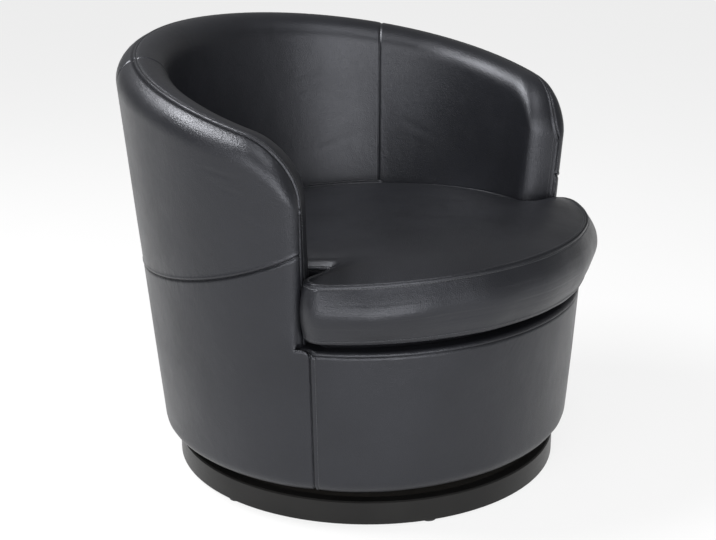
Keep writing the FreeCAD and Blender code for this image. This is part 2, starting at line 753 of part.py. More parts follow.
def post_at(angle, low, high):
    """An upright post centred on an angle, following the wall's flare."""
    half = math.degrees(HALF * size("post_width") / size("wall_radius"))
    return wall_piece([angle - half, angle, angle + half], frame_inset(), frame_inside(), low, high)


def back_post_angles():
    reach = size("nose_start_angle")
    return [share * reach for share in BACK_POST_SHARES]


def arm_post_angle():
    half = math.degrees(HALF * size("post_width") / size("wall_radius"))
    return size("nose_start_angle") - 2 * half


def front_post_angles():
    reach = HALF_TURN - size("front_seam_angle")
    return [HALF_TURN + share * reach for share in FRONT_POST_SHARES]


def front_rail_low():
    return front_rail_top() - size("front_rail_height")


def front_rail_top():
    return size("deck_height") - size("leather") - size("soft_gap")


def seat_ring_top():
    return (size("deck_height") - size("leather") - size("soft_gap")
            - size("deck_cloth_thickness") - size("deck_pad_thickness")
            - 2 * size("web_thickness") - 2 * size("soft_gap"))


def glue_block(angle):
    """A three-cornered block between a post and the base board."""
    half = math.degrees(HALF * size("post_width") / size("wall_radius"))
    low = board_top()
    sections = []
    for turn in (angle - half, angle + half):
        station = Station(turn)
        inset = frame_inside() + size("frame_gap")
        foot = station.point(station.outer(low, inset), low)
        head = station.point(station.outer(low + size("block_size"), inset), low + size("block_size"))
        toe = station.point(station.outer(low, inset + size("block_size")), low)
        sections.append(Part.Wire([straight(foot, head), straight(head, toe), straight(toe, foot)]))
    return loft(sections)


def make_frame():
    def board_edge(angle):
        return outer_radius(angle, board_top()) - frame_inset()
    board = outline_plate(board_edge, bottom_level(), size("base_board_thickness"),
                          size("base_board_hole"))
    drill = size("tee_barrel_radius") + size("drill_clearance")
    for i in range(FIXINGS):
        turn = math.radians(FIRST_FIXING + FULL_TURN / FIXINGS * i)
        place = Vector(size("mount_circle") * math.cos(turn), size("mount_circle") * math.sin(turn),
                       bottom_level() - OVERRUN)
        board = board.cut(Part.makeCylinder(drill, size("base_board_thickness") + 2 * OVERRUN, place))
    feature("base_board", board)

    post_foot = board_top()

    def post_head(angle):
        return rail_top(angle) - size("top_rail_height") - size("soft_gap")
    feature("back_posts", Part.makeCompound(
        [post_at(angle, post_foot, post_head) for angle in back_post_angles()]))
    feature("arm_posts", Part.makeCompound(
        [post_at(side * arm_post_angle(), post_foot, post_head) for side in (-1, 1)]))
    feature("front_posts", Part.makeCompound(
        [post_at(angle, post_foot, front_rail_low()) for angle in front_post_angles()]))
    feature("glue_blocks", Part.makeCompound(
        [glue_block(angle) for angle in back_post_angles() + front_post_angles()]))

    def ring_edge(angle):
        return outer_radius(angle, seat_ring_top() - size("seat_ring_thickness")) - (
            frame_inside() + size("frame_gap"))
    feature("seat_ring", outline_plate(ring_edge, seat_ring_top() - size("seat_ring_thickness"),
                                       size("seat_ring_thickness"), size("seat_ring_hole")))

    feature("top_rail", wall_piece(wall_angles(), frame_inset(), frame_inside(),
                                   lambda a: rail_top(a) - size("top_rail_height"), rail_top))
    feature("front_rail", wall_piece(front_angles(), frame_inset(), frame_inside(),
                                     front_rail_low(), front_rail_top()))
    liner_far = liner_inset() + size("liner")
    feature("wall_liner", wall_piece(wall_angles(), liner_inset(), liner_far,
                                     post_foot, rail_top))
    feature("front_liner", wall_piece(front_angles(), liner_inset(), liner_far,
                                      post_foot, front_rail_top()))
    inside = frame_inside() + size("frame_gap")
    feature("inside_liner", wall_piece(wall_angles(), inside,
                                       inside + size("inside_liner_thickness"),
                                       seat_ring_top() + size("soft_gap"), rail_top))


# Padding and foam of the tub

def foam_section(station):
    """Inner foam between the inside liner and the inner leather, up to the rail's top."""
    low = seat_ring_top() + size("soft_gap")
    high = rail_top(station.angle)
    near = (frame_inside() + size("frame_gap") + size("inside_liner_thickness")
            + size("soft_gap"))
    skin = padding_inset()
    return closed([
        station.outer_edge(low, high, near),
        straight(station.point(station.outer(high, near), high),
                 station.point(station.inner(high, skin), high)),
        straight(station.point(station.inner(high, skin), high),
                 station.point(station.inner(low, skin), low)),
        straight(station.point(station.inner(low, skin), low),
                 station.point(station.outer(low, near), low)),
    ])


def filled_section(station, low, inset):
    """The whole wall inside its leather, from a height up and over the crest."""
    return closed([
        station.outer_to_roll(low, inset),
        station.roll_arc(0, QUARTER_TURN, inset),
        station.roll_arc(QUARTER_TURN, HALF_TURN, inset),
        straight(station.roll(HALF_TURN, inset), station.point(station.inner(low, inset), low)),
        straight(station.point(station.inner(low, inset), low),
                 station.point(station.outer(low, inset), low)),
    ])


def make_padding():
    reach = size("nose_start_angle")
    far = padding_inset() + size("padding")
    feature("wall_padding", wall_piece(wall_angles(), padding_inset(), far,
                                       board_top(), rail_top))
    feature("front_padding", wall_piece(
        front_angles(), padding_inset(), far, board_top(),
        size("deck_height") - size("deck_edge") - size("soft_gap")))
    feature("inside_foam", loft([foam_section(Station(a)) for a in wall_angles()]))
    feature("crest_foam", loft([
        filled_section(Station(a), rail_top(a) + size("soft_gap"), padding_inset())
        for a in wall_angles()]))
    noses = []
    for side in (-1, 1):
        stations = nose_stations(side)
        low = size("deck_height") + 2 * size("soft_gap")
        gap = math.degrees(size("soft_gap") / size("wall_radius"))
        stations[0] = Station(side * (reach + gap))
        noses.append(loft([filled_section(s, low, padding_inset()) for s in stations[:-1]]))
    feature("nose_pads", Part.makeCompound(noses))


# Leather of the tub, cut into panels along its seams

def upper_panel_section(station, low):
    """Outer leather from the level seam up to the crest seam."""
    thick = size("leather")
    turn = station.seam_turn()
    return closed([
        station.outer_to_roll(low, 0),
        station.roll_arc(0, turn, 0),
        straight(station.roll(turn, 0), station.roll(turn, thick)),
        station.roll_arc(0, turn, thick),
        station.outer_to_roll(low, thick),
        straight(station.point(station.outer(low, thick), low),
                 station.point(station.outer(low), low)),
    ])


def inner_panel_section(station, low):
    """Inner leather from the crest seam over the roll and down to the deck."""
    thick = size("leather")
    turn = station.seam_turn()
    return closed([
        station.roll_arc(turn, HALF_TURN, 0),
        straight(station.roll(HALF_TURN, 0), station.point(station.inner(low), low)),
        straight(station.point(station.inner(low), low),
                 station.point(station.inner(low, thick), low)),
        straight(station.point(station.inner(low, thick), low), station.roll(HALF_TURN, thick)),
        station.roll_arc(turn, HALF_TURN, thick),
        straight(station.roll(turn, thick), station.roll(turn, 0)),
    ])


def lower_panel_section(station, high):
    """Outer leather from a seam down, round the bottom edge and under the tub."""
    thick = size("leather")
    edge = size("bottom_edge")
    base = bottom_level() - thick - size("soft_gap")
    slope = math.atan((station.outer(base + 2 * edge) - station.outer(base + edge)) / edge)
    start = base + edge - edge * math.sin(slope)
    centre = station.outer(start) - edge * math.cos(slope)

    def round_edge(reach):
        places = []
        for turn in (-slope, HALF * (-slope - math.pi / 2), -math.pi / 2):
            places.append(station.point(centre + reach * math.cos(turn),
                                        base + edge + reach * math.sin(turn)))
        return places

    def side(reach, inset):
        return straight(station.point(station.outer(high, inset), high), round_edge(reach)[0])
    flap = centre - size("bottom_flap")
    return closed([
        side(edge, 0),
        Part.Arc(*round_edge(edge)).toShape(),
        straight(round_edge(edge)[2], station.point(flap, base)),
        straight(station.point(flap, base), station.point(flap, base + thick)),
        straight(station.point(flap, base + thick), round_edge(edge - thick)[2]),
        Part.Arc(*round_edge(edge - thick)).toShape(),
        side(edge - thick, thick),
        straight(station.point(station.outer(high, thick), high),
                 station.point(station.outer(high), high)),
    ])


def nose_side_section(station, low, high):
    """Outer leather of the nose below the level seam."""
    return ring_section(station, 0, size("leather"), low, high)


def nose_cap(station, low):
    """The strip of leather that closes the front of the nose."""
    face = Part.Face(filled_section(station, low, 0))
    side = math.copysign(1, station.angle)
    turn = math.radians(station.angle)
    forward = Vector(math.cos(turn), -math.sin(turn), 0) * side
    return face.extrude(forward * size("leather"))


def joined(shapes):
    """Stretches of one panel joined into a single solid."""
    whole = shapes[0].fuse(shapes[1:]).removeSplitter()
    return whole.Solids[0] if len(whole.Solids) == 1 else whole


def make_leather():
    seam = size("back_seam_angle")
    start = size("nose_start_angle")
    front = size("front_seam_angle")
    gap = size("soft_gap")
    deck_line = size("deck_height") - size("deck_edge") - gap
    nose_foot = size("deck_height") + gap
    tuck = seat_ring_top() + gap

    back = [Station(a) for a in spread(-seam, seam)]
    feature("outer_back_upper", loft([upper_panel_section(s, side_seam(s.angle) + gap) for s in back]))
    feature("outer_back_lower", loft([lower_panel_section(s, side_seam(s.angle)) for s in back]))
    feature("inner_back", loft([inner_panel_section(s, tuck) for s in back]))
    for side, name in ((-1, "right"), (1, "left")):
        wall = [Station(side * a) for a in spread(seam, start)]
        nose = nose_stations(side)
        under = [Station(side * a) for a in spread(start, strip_start())]
        apron = [Station(side * a) for a in spread(strip_start(), front)]
        feature(f"outer_{name}_upper", joined([
            loft([upper_panel_section(s, side_seam(s.angle) + gap) for s in wall]),
            loft([upper_panel_section(s, side_seam(s.angle) + gap) for s in nose])]))
        feature(f"outer_{name}_lower", joined([
            loft([lower_panel_section(s, side_seam(s.angle)) for s in wall]),
            loft([nose_side_section(s, nose_foot, side_seam(s.angle)) for s in nose]),
            loft([lower_panel_section(s, nose_foot) for s in under]),
            loft([lower_panel_section(s, deck_line) for s in apron])]))
        feature(f"inner_{name}", joined([
            loft([inner_panel_section(s, tuck) for s in wall]),
            loft([inner_panel_section(s, nose_foot) for s in nose]),
            nose_cap(nose[-1], nose_foot)]))
    feature("front_panel", loft([lower_panel_section(Station(a), deck_line)
                                 for a in spread(front, FULL_TURN - front)]))


# Deck under the cushion

def strap(place, along_x, level):
    """One webbing strap, as long as the ring allows at its place."""
    length = 2 * math.sqrt(size("deck_reach") ** 2 - (abs(place) + HALF * size("web_width")) ** 2)
    width = size("web_width")
    corner = Vector(place - HALF * width, -HALF * length, level)
    box = Part.makeBox(width, length, size("web_thickness"), corner)
    if along_x:
        box.rotate(Vector(0, 0, 0), Vector(0, 0, 1), QUARTER_TURN)
    return box


def deck_strip_section(station):
    """Leather that rolls over the front edge and lies on the deck."""
    edge = size("deck_edge")
    thick = size("leather")
    top = size("deck_height")
    foot = top - edge
    outer = station.outer(foot)

    def quarter(reach):
        return [station.point(outer - edge + reach * math.cos(turn), foot + reach * math.sin(turn))
                for turn in (0, math.pi / 4, math.pi / 2)]
    end = outer - size("deck_strip_width")
    return closed([
        Part.Arc(*quarter(edge)).toShape(),
        straight(quarter(edge)[2], station.point(end, top)),
        straight(station.point(end, top), station.point(end, top - thick)),
        straight(station.point(end, top - thick), quarter(edge - thick)[2]),
        Part.Arc(*quarter(edge - thick)).toShape(),
        straight(quarter(edge - thick)[0], quarter(edge)[0]),
    ])


def make_deck():
    level = seat_ring_top()
    count = int(size("web_count"))
    places = [(i - HALF * (count - 1)) * size("web_pitch") for i in range(count)]
    feature("straps_front_to_back", Part.makeCompound([strap(p, False, level) for p in places]))
    upper = level + size("web_thickness")
    feature("straps_side_to_side", Part.makeCompound([strap(p, True, upper) for p in places]))
    reach = size("deck_reach")
    pad_level = upper + size("web_thickness") + size("soft_gap")
    feature("deck_pad", Part.makeCylinder(reach, size("deck_pad_thickness"), Vector(0, 0, pad_level)))
    cloth_level = pad_level + size("deck_pad_thickness") + HALF * size("soft_gap")
    feature("deck_cloth", Part.makeCylinder(reach, size("deck_cloth_thickness"),
                                            Vector(0, 0, cloth_level)))
    gap = math.degrees(size("soft_gap") / size("wall_radius"))
    feature("deck_strip", loft([deck_strip_section(Station(a))
                                for a in front_angles(strip_start() + gap)]))

    half = HALF * size("dust_cover_window")
    window = Part.makeBox(2 * half, 2 * half, 2 * OVERRUN,
                          Vector(-half, -half, bottom_level() - OVERRUN))

    def cover_edge(angle):
        return (outer_radius(angle, bottom_level()) - size("bottom_edge") - size("bottom_flap")
                - size("frame_gap"))
    cover = outline_plate(cover_edge, bottom_level() - size("dust_cover_thickness"),
                          size("dust_cover_thickness"))
    feature("dust_cover", cover.cut(window))


# Seat cushion: crowned top, drawn-in sides and ears in front of the arm noses

class CushionPlan:
    """The cushion's outline from above: a round rear, two ears and a curved front."""

    def __init__(self, grow_front=0.0, grow_rear=0.0):
        """grow moves the front and the rear edges out; a negative value takes them in."""
        self.rear = size("cushion_rear_radius") + grow_rear
        self.front = size("cushion_front_radius") + grow_front
        self.behind = size("cushion_front_centre")
        self.line = -size("ear_line") + min(grow_front, grow_rear)
        self.corner = size("ear_corner")
        self.side_x = math.sqrt(self.rear ** 2 - self.line ** 2)
        self.join = math.acos(self.line / self.rear)
        reach = self.front - self.corner
        depth = self.line - self.corner - self.behind
        self.centre_x = math.sqrt(reach ** 2 - depth ** 2)
        self.centre_y = self.line - self.corner
        self.sweep = math.atan2(self.centre_x, -depth)

    def rear_point(self, turn):
        return self.rear * math.sin(turn), self.rear * math.cos(turn)

    def front_point(self, turn):
        return self.front * math.sin(turn), self.behind - self.front * math.cos(turn)

    def corner_point(self, share):
        """From the ear's rear line, at share 0, round to the front edge, at share 1."""
        turn = math.pi - share * (math.pi - self.sweep)
        return (self.centre_x + self.corner * math.sin(turn),
                self.centre_y - self.corner * math.cos(turn))

    def arcs(self):
        """The outline as stretches that follow one another, each by a few points."""
        arc = 2 * self.join / REAR_ARCS
        stretches = []
        for i in range(REAR_ARCS):
            first = arc * i - self.join
            stretches.append([self.rear_point(first + share * arc) for share in (0, HALF, 1)])
        stretches.append([self.rear_point(self.join), self.corner_point(0)])
        stretches.append([self.corner_point(share) for share in (0, HALF, 1)])
        for first in (self.sweep, 0.0):
            stretches.append([self.front_point(first - share * self.sweep) for share in (0, HALF, 1)])
        stretches.append([mirrored(self.corner_point(share)) for share in (1, HALF, 0)])
        stretches.append([mirrored(self.corner_point(0)), mirrored(self.rear_point(self.join))])
        return stretches

    def wire(self, level, fall=0.0):
        """The outline in a plane at a level in front, falling so much up to the rear."""
        edges = []
        for stretch in self.arcs():
            places = [Vector(x, y, level - fall * rearward(y)) for x, y in stretch]
            edges.append(straight(*places) if len(places) == 2 else Part.Arc(*places).toShape())
        return Part.Wire(edges)

    def rim(self):
        """Points round one half of the outline, from the middle of the rear to the front."""
        places = [self.rear_point(self.join * i / REAR_STEPS) for i in range(REAR_STEPS + 1)]
        places += [self.corner_point(i / CORNER_STEPS) for i in range(CORNER_STEPS + 1)]
        places += [self.front_point(self.sweep * (1 - i / FRONT_STEPS))
                   for i in range(1, FRONT_STEPS + 1)]
        return places

    def depth(self, x, y):
        """How far a place in the right half of the cushion lies from its outline."""
        near = [math.hypot(x - min(max(x, self.side_x), self.centre_x), y - self.line)]
        if y >= self.line and math.atan2(x, y) <= self.join:
            near.append(self.rear - math.hypot(x, y))
        if math.atan2(x, self.behind - y) <= self.sweep:
            near.append(self.front - math.hypot(x, self.behind - y))
        if math.atan2(x - self.centre_x, self.centre_y - y) >= self.sweep:
            near.append(self.corner - math.hypot(x - self.centre_x, self.centre_y - y))
        return min(near)

    def ring(self, depth):
        """A closed line of points that lie a depth inside the outline."""
        half = []
        for x, y in self.rim():
            near = 0.0
            far = 1.0
            while far - near > RING_FINENESS:
                middle = HALF * (near + far)
                place = (middle * x, self.centre_y + middle * (y - self.centre_y))
                if self.depth(*place) > depth:
                    near = middle
                else:
                    far = middle
            half.append((near * x, self.centre_y + near * (y - self.centre_y)))
        return half + [mirrored(place) for place in half[-2:0:-1]]


def mirrored(place):
    return -place[0], place[1]


def rearward(y):
    """The share of the cushion's length that lies in front of a place."""
    return (y + size("cushion_length") - size("cushion_rear_radius")) / size("cushion_length")


def cushion_sides(inset):
    """The drawn-in foot and the swelling sides, taken in by an inset."""
    base = size("deck_height") + size("cushion_base_gap")
    lower = size("lower_seam_height")
    rise = size("upper_seam_height") - lower
    tuck = -size("cushion_tuck") - inset
    edge = CushionPlan(-inset, -inset).wire(lower)
    foot = [CushionPlan(tuck, tuck).wire(base + inset), edge]
    belly = []
    for share in SIDE_SHARES:
        swell = size("cushion_bulge") * math.sin(math.pi * share)
        plan = CushionPlan(swell - inset, -inset)
        belly.append(plan.wire(lower + share * rise, share * size("rear_fall")))
    return loft(foot), loft(belly)


def cushion_crown(drop):
    """The crowned top, lowered by a drop and cut off along the upper seam's plane."""
    fall = size("rear_fall")
    rings = []
    for share in CROWN_SHARES:
        height = size("upper_seam_height") + (1 - (1 - share) ** CROWN_POWER) * size("crown_rise")
        ring = CushionPlan().ring(share * size("crown_depth"))
        rings.append([Vector(x, y, height - drop - fall * rearward(y)) for x, y in ring])
    return stepped_solid(rings).common(above_seam())


def above_seam():
    """A large block that stands on the plane of the cushion's upper seam."""
    reach = 2 * size("cushion_front_radius")
    corners = [Vector(x, y, size("upper_seam_height") - size("rear_fall") * rearward(y))
               for x, y in ((-reach, -reach), (reach, -reach), (reach, reach), (-reach, reach))]
    return Part.Face(Part.makePolygon(corners + corners[:1])).extrude(Vector(0, 0, reach))


def stepped_solid(rings):
    """A solid of flat triangles between flat rings of points, closed below and above."""
    def flat(*corners):
        return Part.Face(Part.makePolygon(list(corners) + [corners[0]]))
    faces = [flat(*rings[0]), flat(*rings[-1])]
    for lower, upper in zip(rings, rings[1:]):
        for i in range(len(lower)):
            faces.append(flat(lower[i - 1], lower[i], upper[i]))
            faces.append(flat(lower[i - 1], upper[i], upper[i - 1]))
    solid = Part.Solid(Part.Shell(faces))
    return solid if solid.Volume > 0 else solid.reversed()


def slab(low, high, front=None, rear=None):
    """A large block between two heights, and between two places along Y if given."""
    reach = 2 * size("cushion_front_radius")
    near = -reach if front is None else front
    far = reach if rear is None else rear
    return Part.makeBox(2 * reach, far - near, high - low, Vector(-reach, near, low))


def turned_band(inner, outer, low, high, first, last):
    """A bent strip between two radii, heights and angles from the back."""
    face = Part.Face(Part.makePolygon([
        Vector(0, inner, low), Vector(0, outer, low), Vector(0, outer, high),
        Vector(0, inner, high), Vector(0, inner, low)]))
    band = face.revolve(Vector(0, 0, 0), Vector(0, 0, -1), last - first)
    band.rotate(Vector(0, 0, 0), Vector(0, 0, -1), first)
    return band


def make_cushion():
    skin = size("leather")
    foot, belly = cushion_sides(0)
    core_foot, core_belly = cushion_sides(skin)
    feature("cushion_top", cushion_crown(0).cut(cushion_crown(skin)))
    shell = belly.cut(core_belly)
    joint = -size("boxing_joint")
    low = size("lower_seam_height")
    high = size("upper_seam_height")
    feature("cushion_front_boxing", shell.common(slab(low, high, None, joint)))
    rear = shell.common(slab(low, high, joint, None))
    middle = HALF * (low + high - size("rear_fall"))
    slot = HALF * size("zip_slot")
    radius = size("cushion_rear_radius")
    angle = size("zip_angle")
    rear = rear.cut(turned_band(radius - 2 * skin, radius + OVERRUN, middle - slot, middle + slot,
                                -angle, angle))
    feature("cushion_rear_boxing", rear)
    feature("cushion_underside", foot.cut(core_foot))
    gap = size("soft_gap")
    inner_foot, inner_belly = cushion_sides(skin + gap)
    feature("cushion_core", joined([inner_belly, inner_foot, cushion_crown(skin + gap)]))

    tape = size("zip_tape_thickness")
    tape_face = radius - skin + tape
    coil = HALF * size("coil_height")
    ends = math.degrees(gap / radius)
    ribbon = turned_band(radius - skin, tape_face, middle - slot, middle + slot,
                         -angle + ends, angle - ends)
    teeth = turned_band(radius - skin, tape_face + size("coil_depth"), middle - coil, middle + coil,
                        -angle + ends, angle - ends)
    feature("zip", ribbon.fuse(teeth).removeSplitter())
    clear = size("slider_clearance")
    wall = size("slider_wall")
    reach = tape_face + size("coil_depth") + clear
    half = math.degrees(HALF * size("slider_length") / radius)
    parked = angle - 2 * half
    block = turned_band(tape_face + clear, reach + wall, middle - coil - clear - wall,
                        middle + coil + clear + wall, parked - half, parked + half)
    channel = turned_band(tape_face, reach, middle - coil - clear, middle + coil + clear,
                          parked - 2 * half, parked + 2 * half)
    tab = math.degrees(HALF * size("pull_width") / radius)
    pull = turned_band(reach, reach + wall, middle - size("pull_drop"), middle,
                       parked - tab, parked + tab)
    feature("zip_slider", block.cut(channel).fuse(pull).removeSplitter())


make_plinth()
make_swivel()
make_frame()
make_padding()
make_leather()
make_deck()
make_cushion()
doc.recompute()

for item in doc.Objects:
    if "Invalid" in item.State or "Error" in item.State:
        raise SystemExit(f"{item.Label} did not build: {item.State}")
for item in PARTS:
    if item.Shape.isNull() or not item.Shape.isValid():
        raise SystemExit(f"{item.Label} has no valid shape")
    if not item.Shape.Solids:
        raise SystemExit(f"{item.Label} has no solid")

os.makedirs("parts", exist_ok=True)
for item in PARTS:
    item.Shape.exportStep(f"parts/{item.Label}.step")
    box = item.Shape.BoundBox
    print(f"{item.Label:24s} solids {len(item.Shape.Solids):2d}  volume {item.Shape.Volume / 1000:9.1f} cm3"
          f"  z {box.ZMin:7.2f} to {box.ZMax:7.2f}")
print(len(PARTS), "sub-parts")
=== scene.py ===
# %% [markdown]
# # A black leather swivel armchair
# The real chair is a barrel-shaped tub of padded timber, covered in black leather, with a
# loose seat cushion. It turns on a ball bearing that is bolted between the tub and a round
# painted plinth. We start by loading the measured model of the chair. Its rigid parts stay
# as they are and only get better finishes. Every soft part is made again here, so
# that the leather can swell, tuck in at its seams and crease.

# %% Open the measured model
import json
import math
import random
import bmesh
import bpy
import numpy as np
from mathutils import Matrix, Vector


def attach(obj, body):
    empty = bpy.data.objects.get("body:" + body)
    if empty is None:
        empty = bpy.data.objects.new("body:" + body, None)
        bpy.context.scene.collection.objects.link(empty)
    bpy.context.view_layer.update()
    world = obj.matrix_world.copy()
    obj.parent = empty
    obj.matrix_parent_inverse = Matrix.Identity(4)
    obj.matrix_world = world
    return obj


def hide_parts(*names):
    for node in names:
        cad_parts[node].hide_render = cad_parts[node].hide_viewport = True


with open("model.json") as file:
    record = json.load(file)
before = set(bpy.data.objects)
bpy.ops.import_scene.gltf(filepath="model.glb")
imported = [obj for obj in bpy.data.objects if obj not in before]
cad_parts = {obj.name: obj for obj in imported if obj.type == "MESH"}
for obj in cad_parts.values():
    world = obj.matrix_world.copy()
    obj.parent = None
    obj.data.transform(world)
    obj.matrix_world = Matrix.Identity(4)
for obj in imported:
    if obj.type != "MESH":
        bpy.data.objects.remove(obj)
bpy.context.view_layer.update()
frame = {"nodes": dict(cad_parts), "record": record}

# %% [markdown]
# ## The camera
# The photograph was taken from the front right of the chair, a little above the arms. The
# place, the tilt and the lens below were worked out from the plinth's ellipse and the crest.
# All angles on this chair are measured about the swivel's upright axis, which stands a
# little in front of the origin, so that axis gets a name first.

# %% Place the camera
MM = 0.001
AXIS_Y = -18.2 * MM
CAMERA_DISTANCE = 2.0949
CAMERA_HEIGHT = 0.9807
CAMERA_SIDE = math.radians(-48.18)
CAMERA_HEADING = math.radians(-47.79)
CAMERA_TILT = math.radians(17.89)
LENS = 66.27

camera_data = bpy.data.cameras.new("camera")
camera_data.sensor_width = 36
camera_data.lens = LENS
camera = bpy.data.objects.new("camera", camera_data)
bpy.context.scene.collection.objects.link(camera)
camera.location = (CAMERA_DISTANCE * math.sin(CAMERA_SIDE),
                   AXIS_Y - CAMERA_DISTANCE * math.cos(CAMERA_SIDE), CAMERA_HEIGHT)
camera.rotation_euler = (math.radians(90) - CAMERA_TILT, 0, CAMERA_HEADING)
bpy.context.scene.camera = camera
bpy.context.scene.view_settings.view_transform = "Standard"
print("camera at", [round(v, 3) for v in camera.location])

# %% [markdown]
# ## Small helpers for materials
# A finish in Blender is a small graph of nodes that ends in one shader. Three helpers keep
# the later cells short: one starts a material, one adds a node, and one joins a texture to
# the shader's bump. All textures are read in object coordinates, in metres, so the grain
# has its real size and needs no unwrapped mesh.

# %% Helpers for node materials
class Finish:
    """One material under construction."""

    def __init__(self, name, colour, roughness, metallic=0.0):
        self.material = bpy.data.materials.new(name)
        self.material.use_nodes = True
        self.tree = self.material.node_tree
        self.shader = self.tree.nodes["Principled BSDF"]
        self.shader.inputs["Base Color"].default_value = (*colour, 1)
        self.shader.inputs["Roughness"].default_value = roughness
        self.shader.inputs["Metallic"].default_value = metallic
        self.place = self.node("ShaderNodeTexCoord").outputs["Object"]

    def node(self, kind, **values):
        """A node of a kind, with its settings and the values of its sockets."""
        made = self.tree.nodes.new(kind)
        for key, value in values.items():
            if hasattr(made, key):
                setattr(made, key, value)
            else:
                made.inputs[key.replace("_", " ")].default_value = value
        return made

    def join(self, source, target):
        self.tree.links.new(source, target)

    def noise(self, scale, detail=3.0, rough=0.5, stretch=None):
        """Soft random spots; stretch scales the three directions."""
        made = self.node("ShaderNodeTexNoise", Scale=scale, Detail=detail, Roughness=rough)
        self.join(self.stretched(stretch), made.inputs["Vector"])
        return made.outputs["Fac"]

    def cells(self, scale, feature="F1", stretch=None):
        """Distance inside small random cells, as in a leather's grain."""
        made = self.node("ShaderNodeTexVoronoi", feature=feature, Scale=scale)
        self.join(self.stretched(stretch), made.inputs["Vector"])
        return made.outputs["Distance"]

    def stretched(self, stretch):
        if stretch is None:
            return self.place
        made = self.node("ShaderNodeMapping", Scale=stretch)
        self.join(self.place, made.inputs["Vector"])
        return made.outputs["Vector"]

    def spread(self, source, low, high, start=0.0, end=1.0):
        """Stretches a value from start..end to low..high."""
        made = self.node("ShaderNodeMapRange")
        for index, value in enumerate((start, end, low, high), start=1):
            made.inputs[index].default_value = value
        self.join(source, made.inputs["Value"])
        return made.outputs["Result"]

    def tones(self, source, *colours):
        """Turns a value into a blend of colours, dark to light."""
        ramp = self.node("ShaderNodeValToRGB")
        elements = ramp.color_ramp.elements
        while len(elements) < len(colours):
            elements.new(0.5)
        for index, colour in enumerate(colours):
            elements[index].position = 0.3 + 0.4 * index / (len(colours) - 1)
            elements[index].color = (*colour, 1)
        self.join(source, ramp.inputs["Fac"])
        self.join(ramp.outputs["Color"], self.shader.inputs["Base Color"])

    def roughness(self, source):
        self.join(source, self.shader.inputs["Roughness"])

    def bump(self, *layers):
        """Stacks height textures; each layer is (value, height in metres)."""
        before = None
        for value, height in layers:
            made = self.node("ShaderNodeBump", Distance=height)
            self.join(value, made.inputs["Height"])
            if before:
                self.join(before, made.inputs["Normal"])
            before = made.outputs["Normal"]
        self.join(before, self.shader.inputs["Normal"])

    def attribute(self, name):
        made = self.node("ShaderNodeAttribute", attribute_name=name)
        return made.outputs["Fac"]


print("material helpers ready")

# %% [markdown]
# ## Black leather
# Upholstery leather of this kind is dyed through and given a thin satin coat. From near by
# one sees a pebbled grain of cells about a millimetre wide, with finer pores between them.
# From a few steps away only the soft, slightly blue sheen is left. Two sizes of cells make
# the grain, slow noise changes the sheen from place to place, and a "seam" value, which
# every leather mesh carries, adds the small pulled wrinkles that gather along a seam.

# %% Make the leather
LEATHER_DARK = (0.0058, 0.0061, 0.0076)
LEATHER_LIGHT = (0.0094, 0.0099, 0.0122)


def leather_finish(name):
    finish = Finish(name, LEATHER_LIGHT, 0.42)
    finish.tones(finish.noise(7.0, 4.0), LEATHER_DARK, LEATHER_LIGHT)
    finish.roughness(finish.spread(finish.noise(11.0, 5.0, 0.6), 0.32, 0.41, 0.3, 0.7))
    near_seam = finish.node("ShaderNodeMath", operation="MULTIPLY")
    finish.join(finish.noise(150.0, 2.0, 0.6), near_seam.inputs[0])
    finish.join(finish.attribute("seam"), near_seam.inputs[1])
    finish.bump((finish.noise(38.0, 3.0, 0.55), 0.0006),
                (near_seam.outputs["Value"], 0.0009),
                (finish.cells(620.0), 0.00022),
                (finish.cells(1500.0), 0.00008))
    finish.shader.inputs["Specular IOR Level"].default_value = 0.5
    finish.shader.inputs["Specular Tint"].default_value = (0.90, 0.92, 1.0, 1)
    return finish.material


LEATHER = leather_finish("black_leather")
print("leather has", len(LEATHER.node_tree.nodes), "nodes")

# %% [markdown]
# ## Cloth, thread, webbing, felt and foam
# The sewing thread is a little lighter and shinier than the leather. The deck under the
# cushion and the cover under the tub are plain black cloth, and the webbing is a coarse
# ribbed weave. Each weave is two crossed waves used as height. Foam and wadding are rarely
# seen, but they show when the cushion is opened, so they get their own pale, dull looks.

# %% Make the cloth and filling finishes
def woven_finish(name, colour, pitch, height, roughness=0.85):
    """Cloth whose threads cross at a pitch in metres."""
    finish = Finish(name, colour, roughness)
    threads = []
    for direction in ("X", "Y"):
        wave = finish.node("ShaderNodeTexWave", bands_direction=direction,
                           Scale=0.314 / pitch, Distortion=0.6, Detail=1.0)
        finish.join(finish.place, wave.inputs["Vector"])
        threads.append(wave.outputs["Fac"])
    crossed = finish.node("ShaderNodeMath", operation="MAXIMUM")
    finish.join(threads[0], crossed.inputs[0])
    finish.join(threads[1], crossed.inputs[1])
    finish.bump((finish.noise(25.0), 0.0008), (crossed.outputs["Value"], height))
    finish.tones(finish.noise(90.0, 4.0), tuple(0.75 * v for v in colour), colour)
    finish.shader.inputs["Sheen Weight"].default_value = 0.15
    return finish.material


def filling_finish(name, colour, grain, height):
    """Foam, felt or wadding: dull, with an open surface of small cells."""
    finish = Finish(name, colour, 0.95)
    finish.tones(finish.noise(30.0, 5.0), tuple(0.8 * v for v in colour), colour)
    finish.bump((finish.noise(60.0, 4.0), height), (finish.cells(grain), 0.5 * height))
    return finish.material


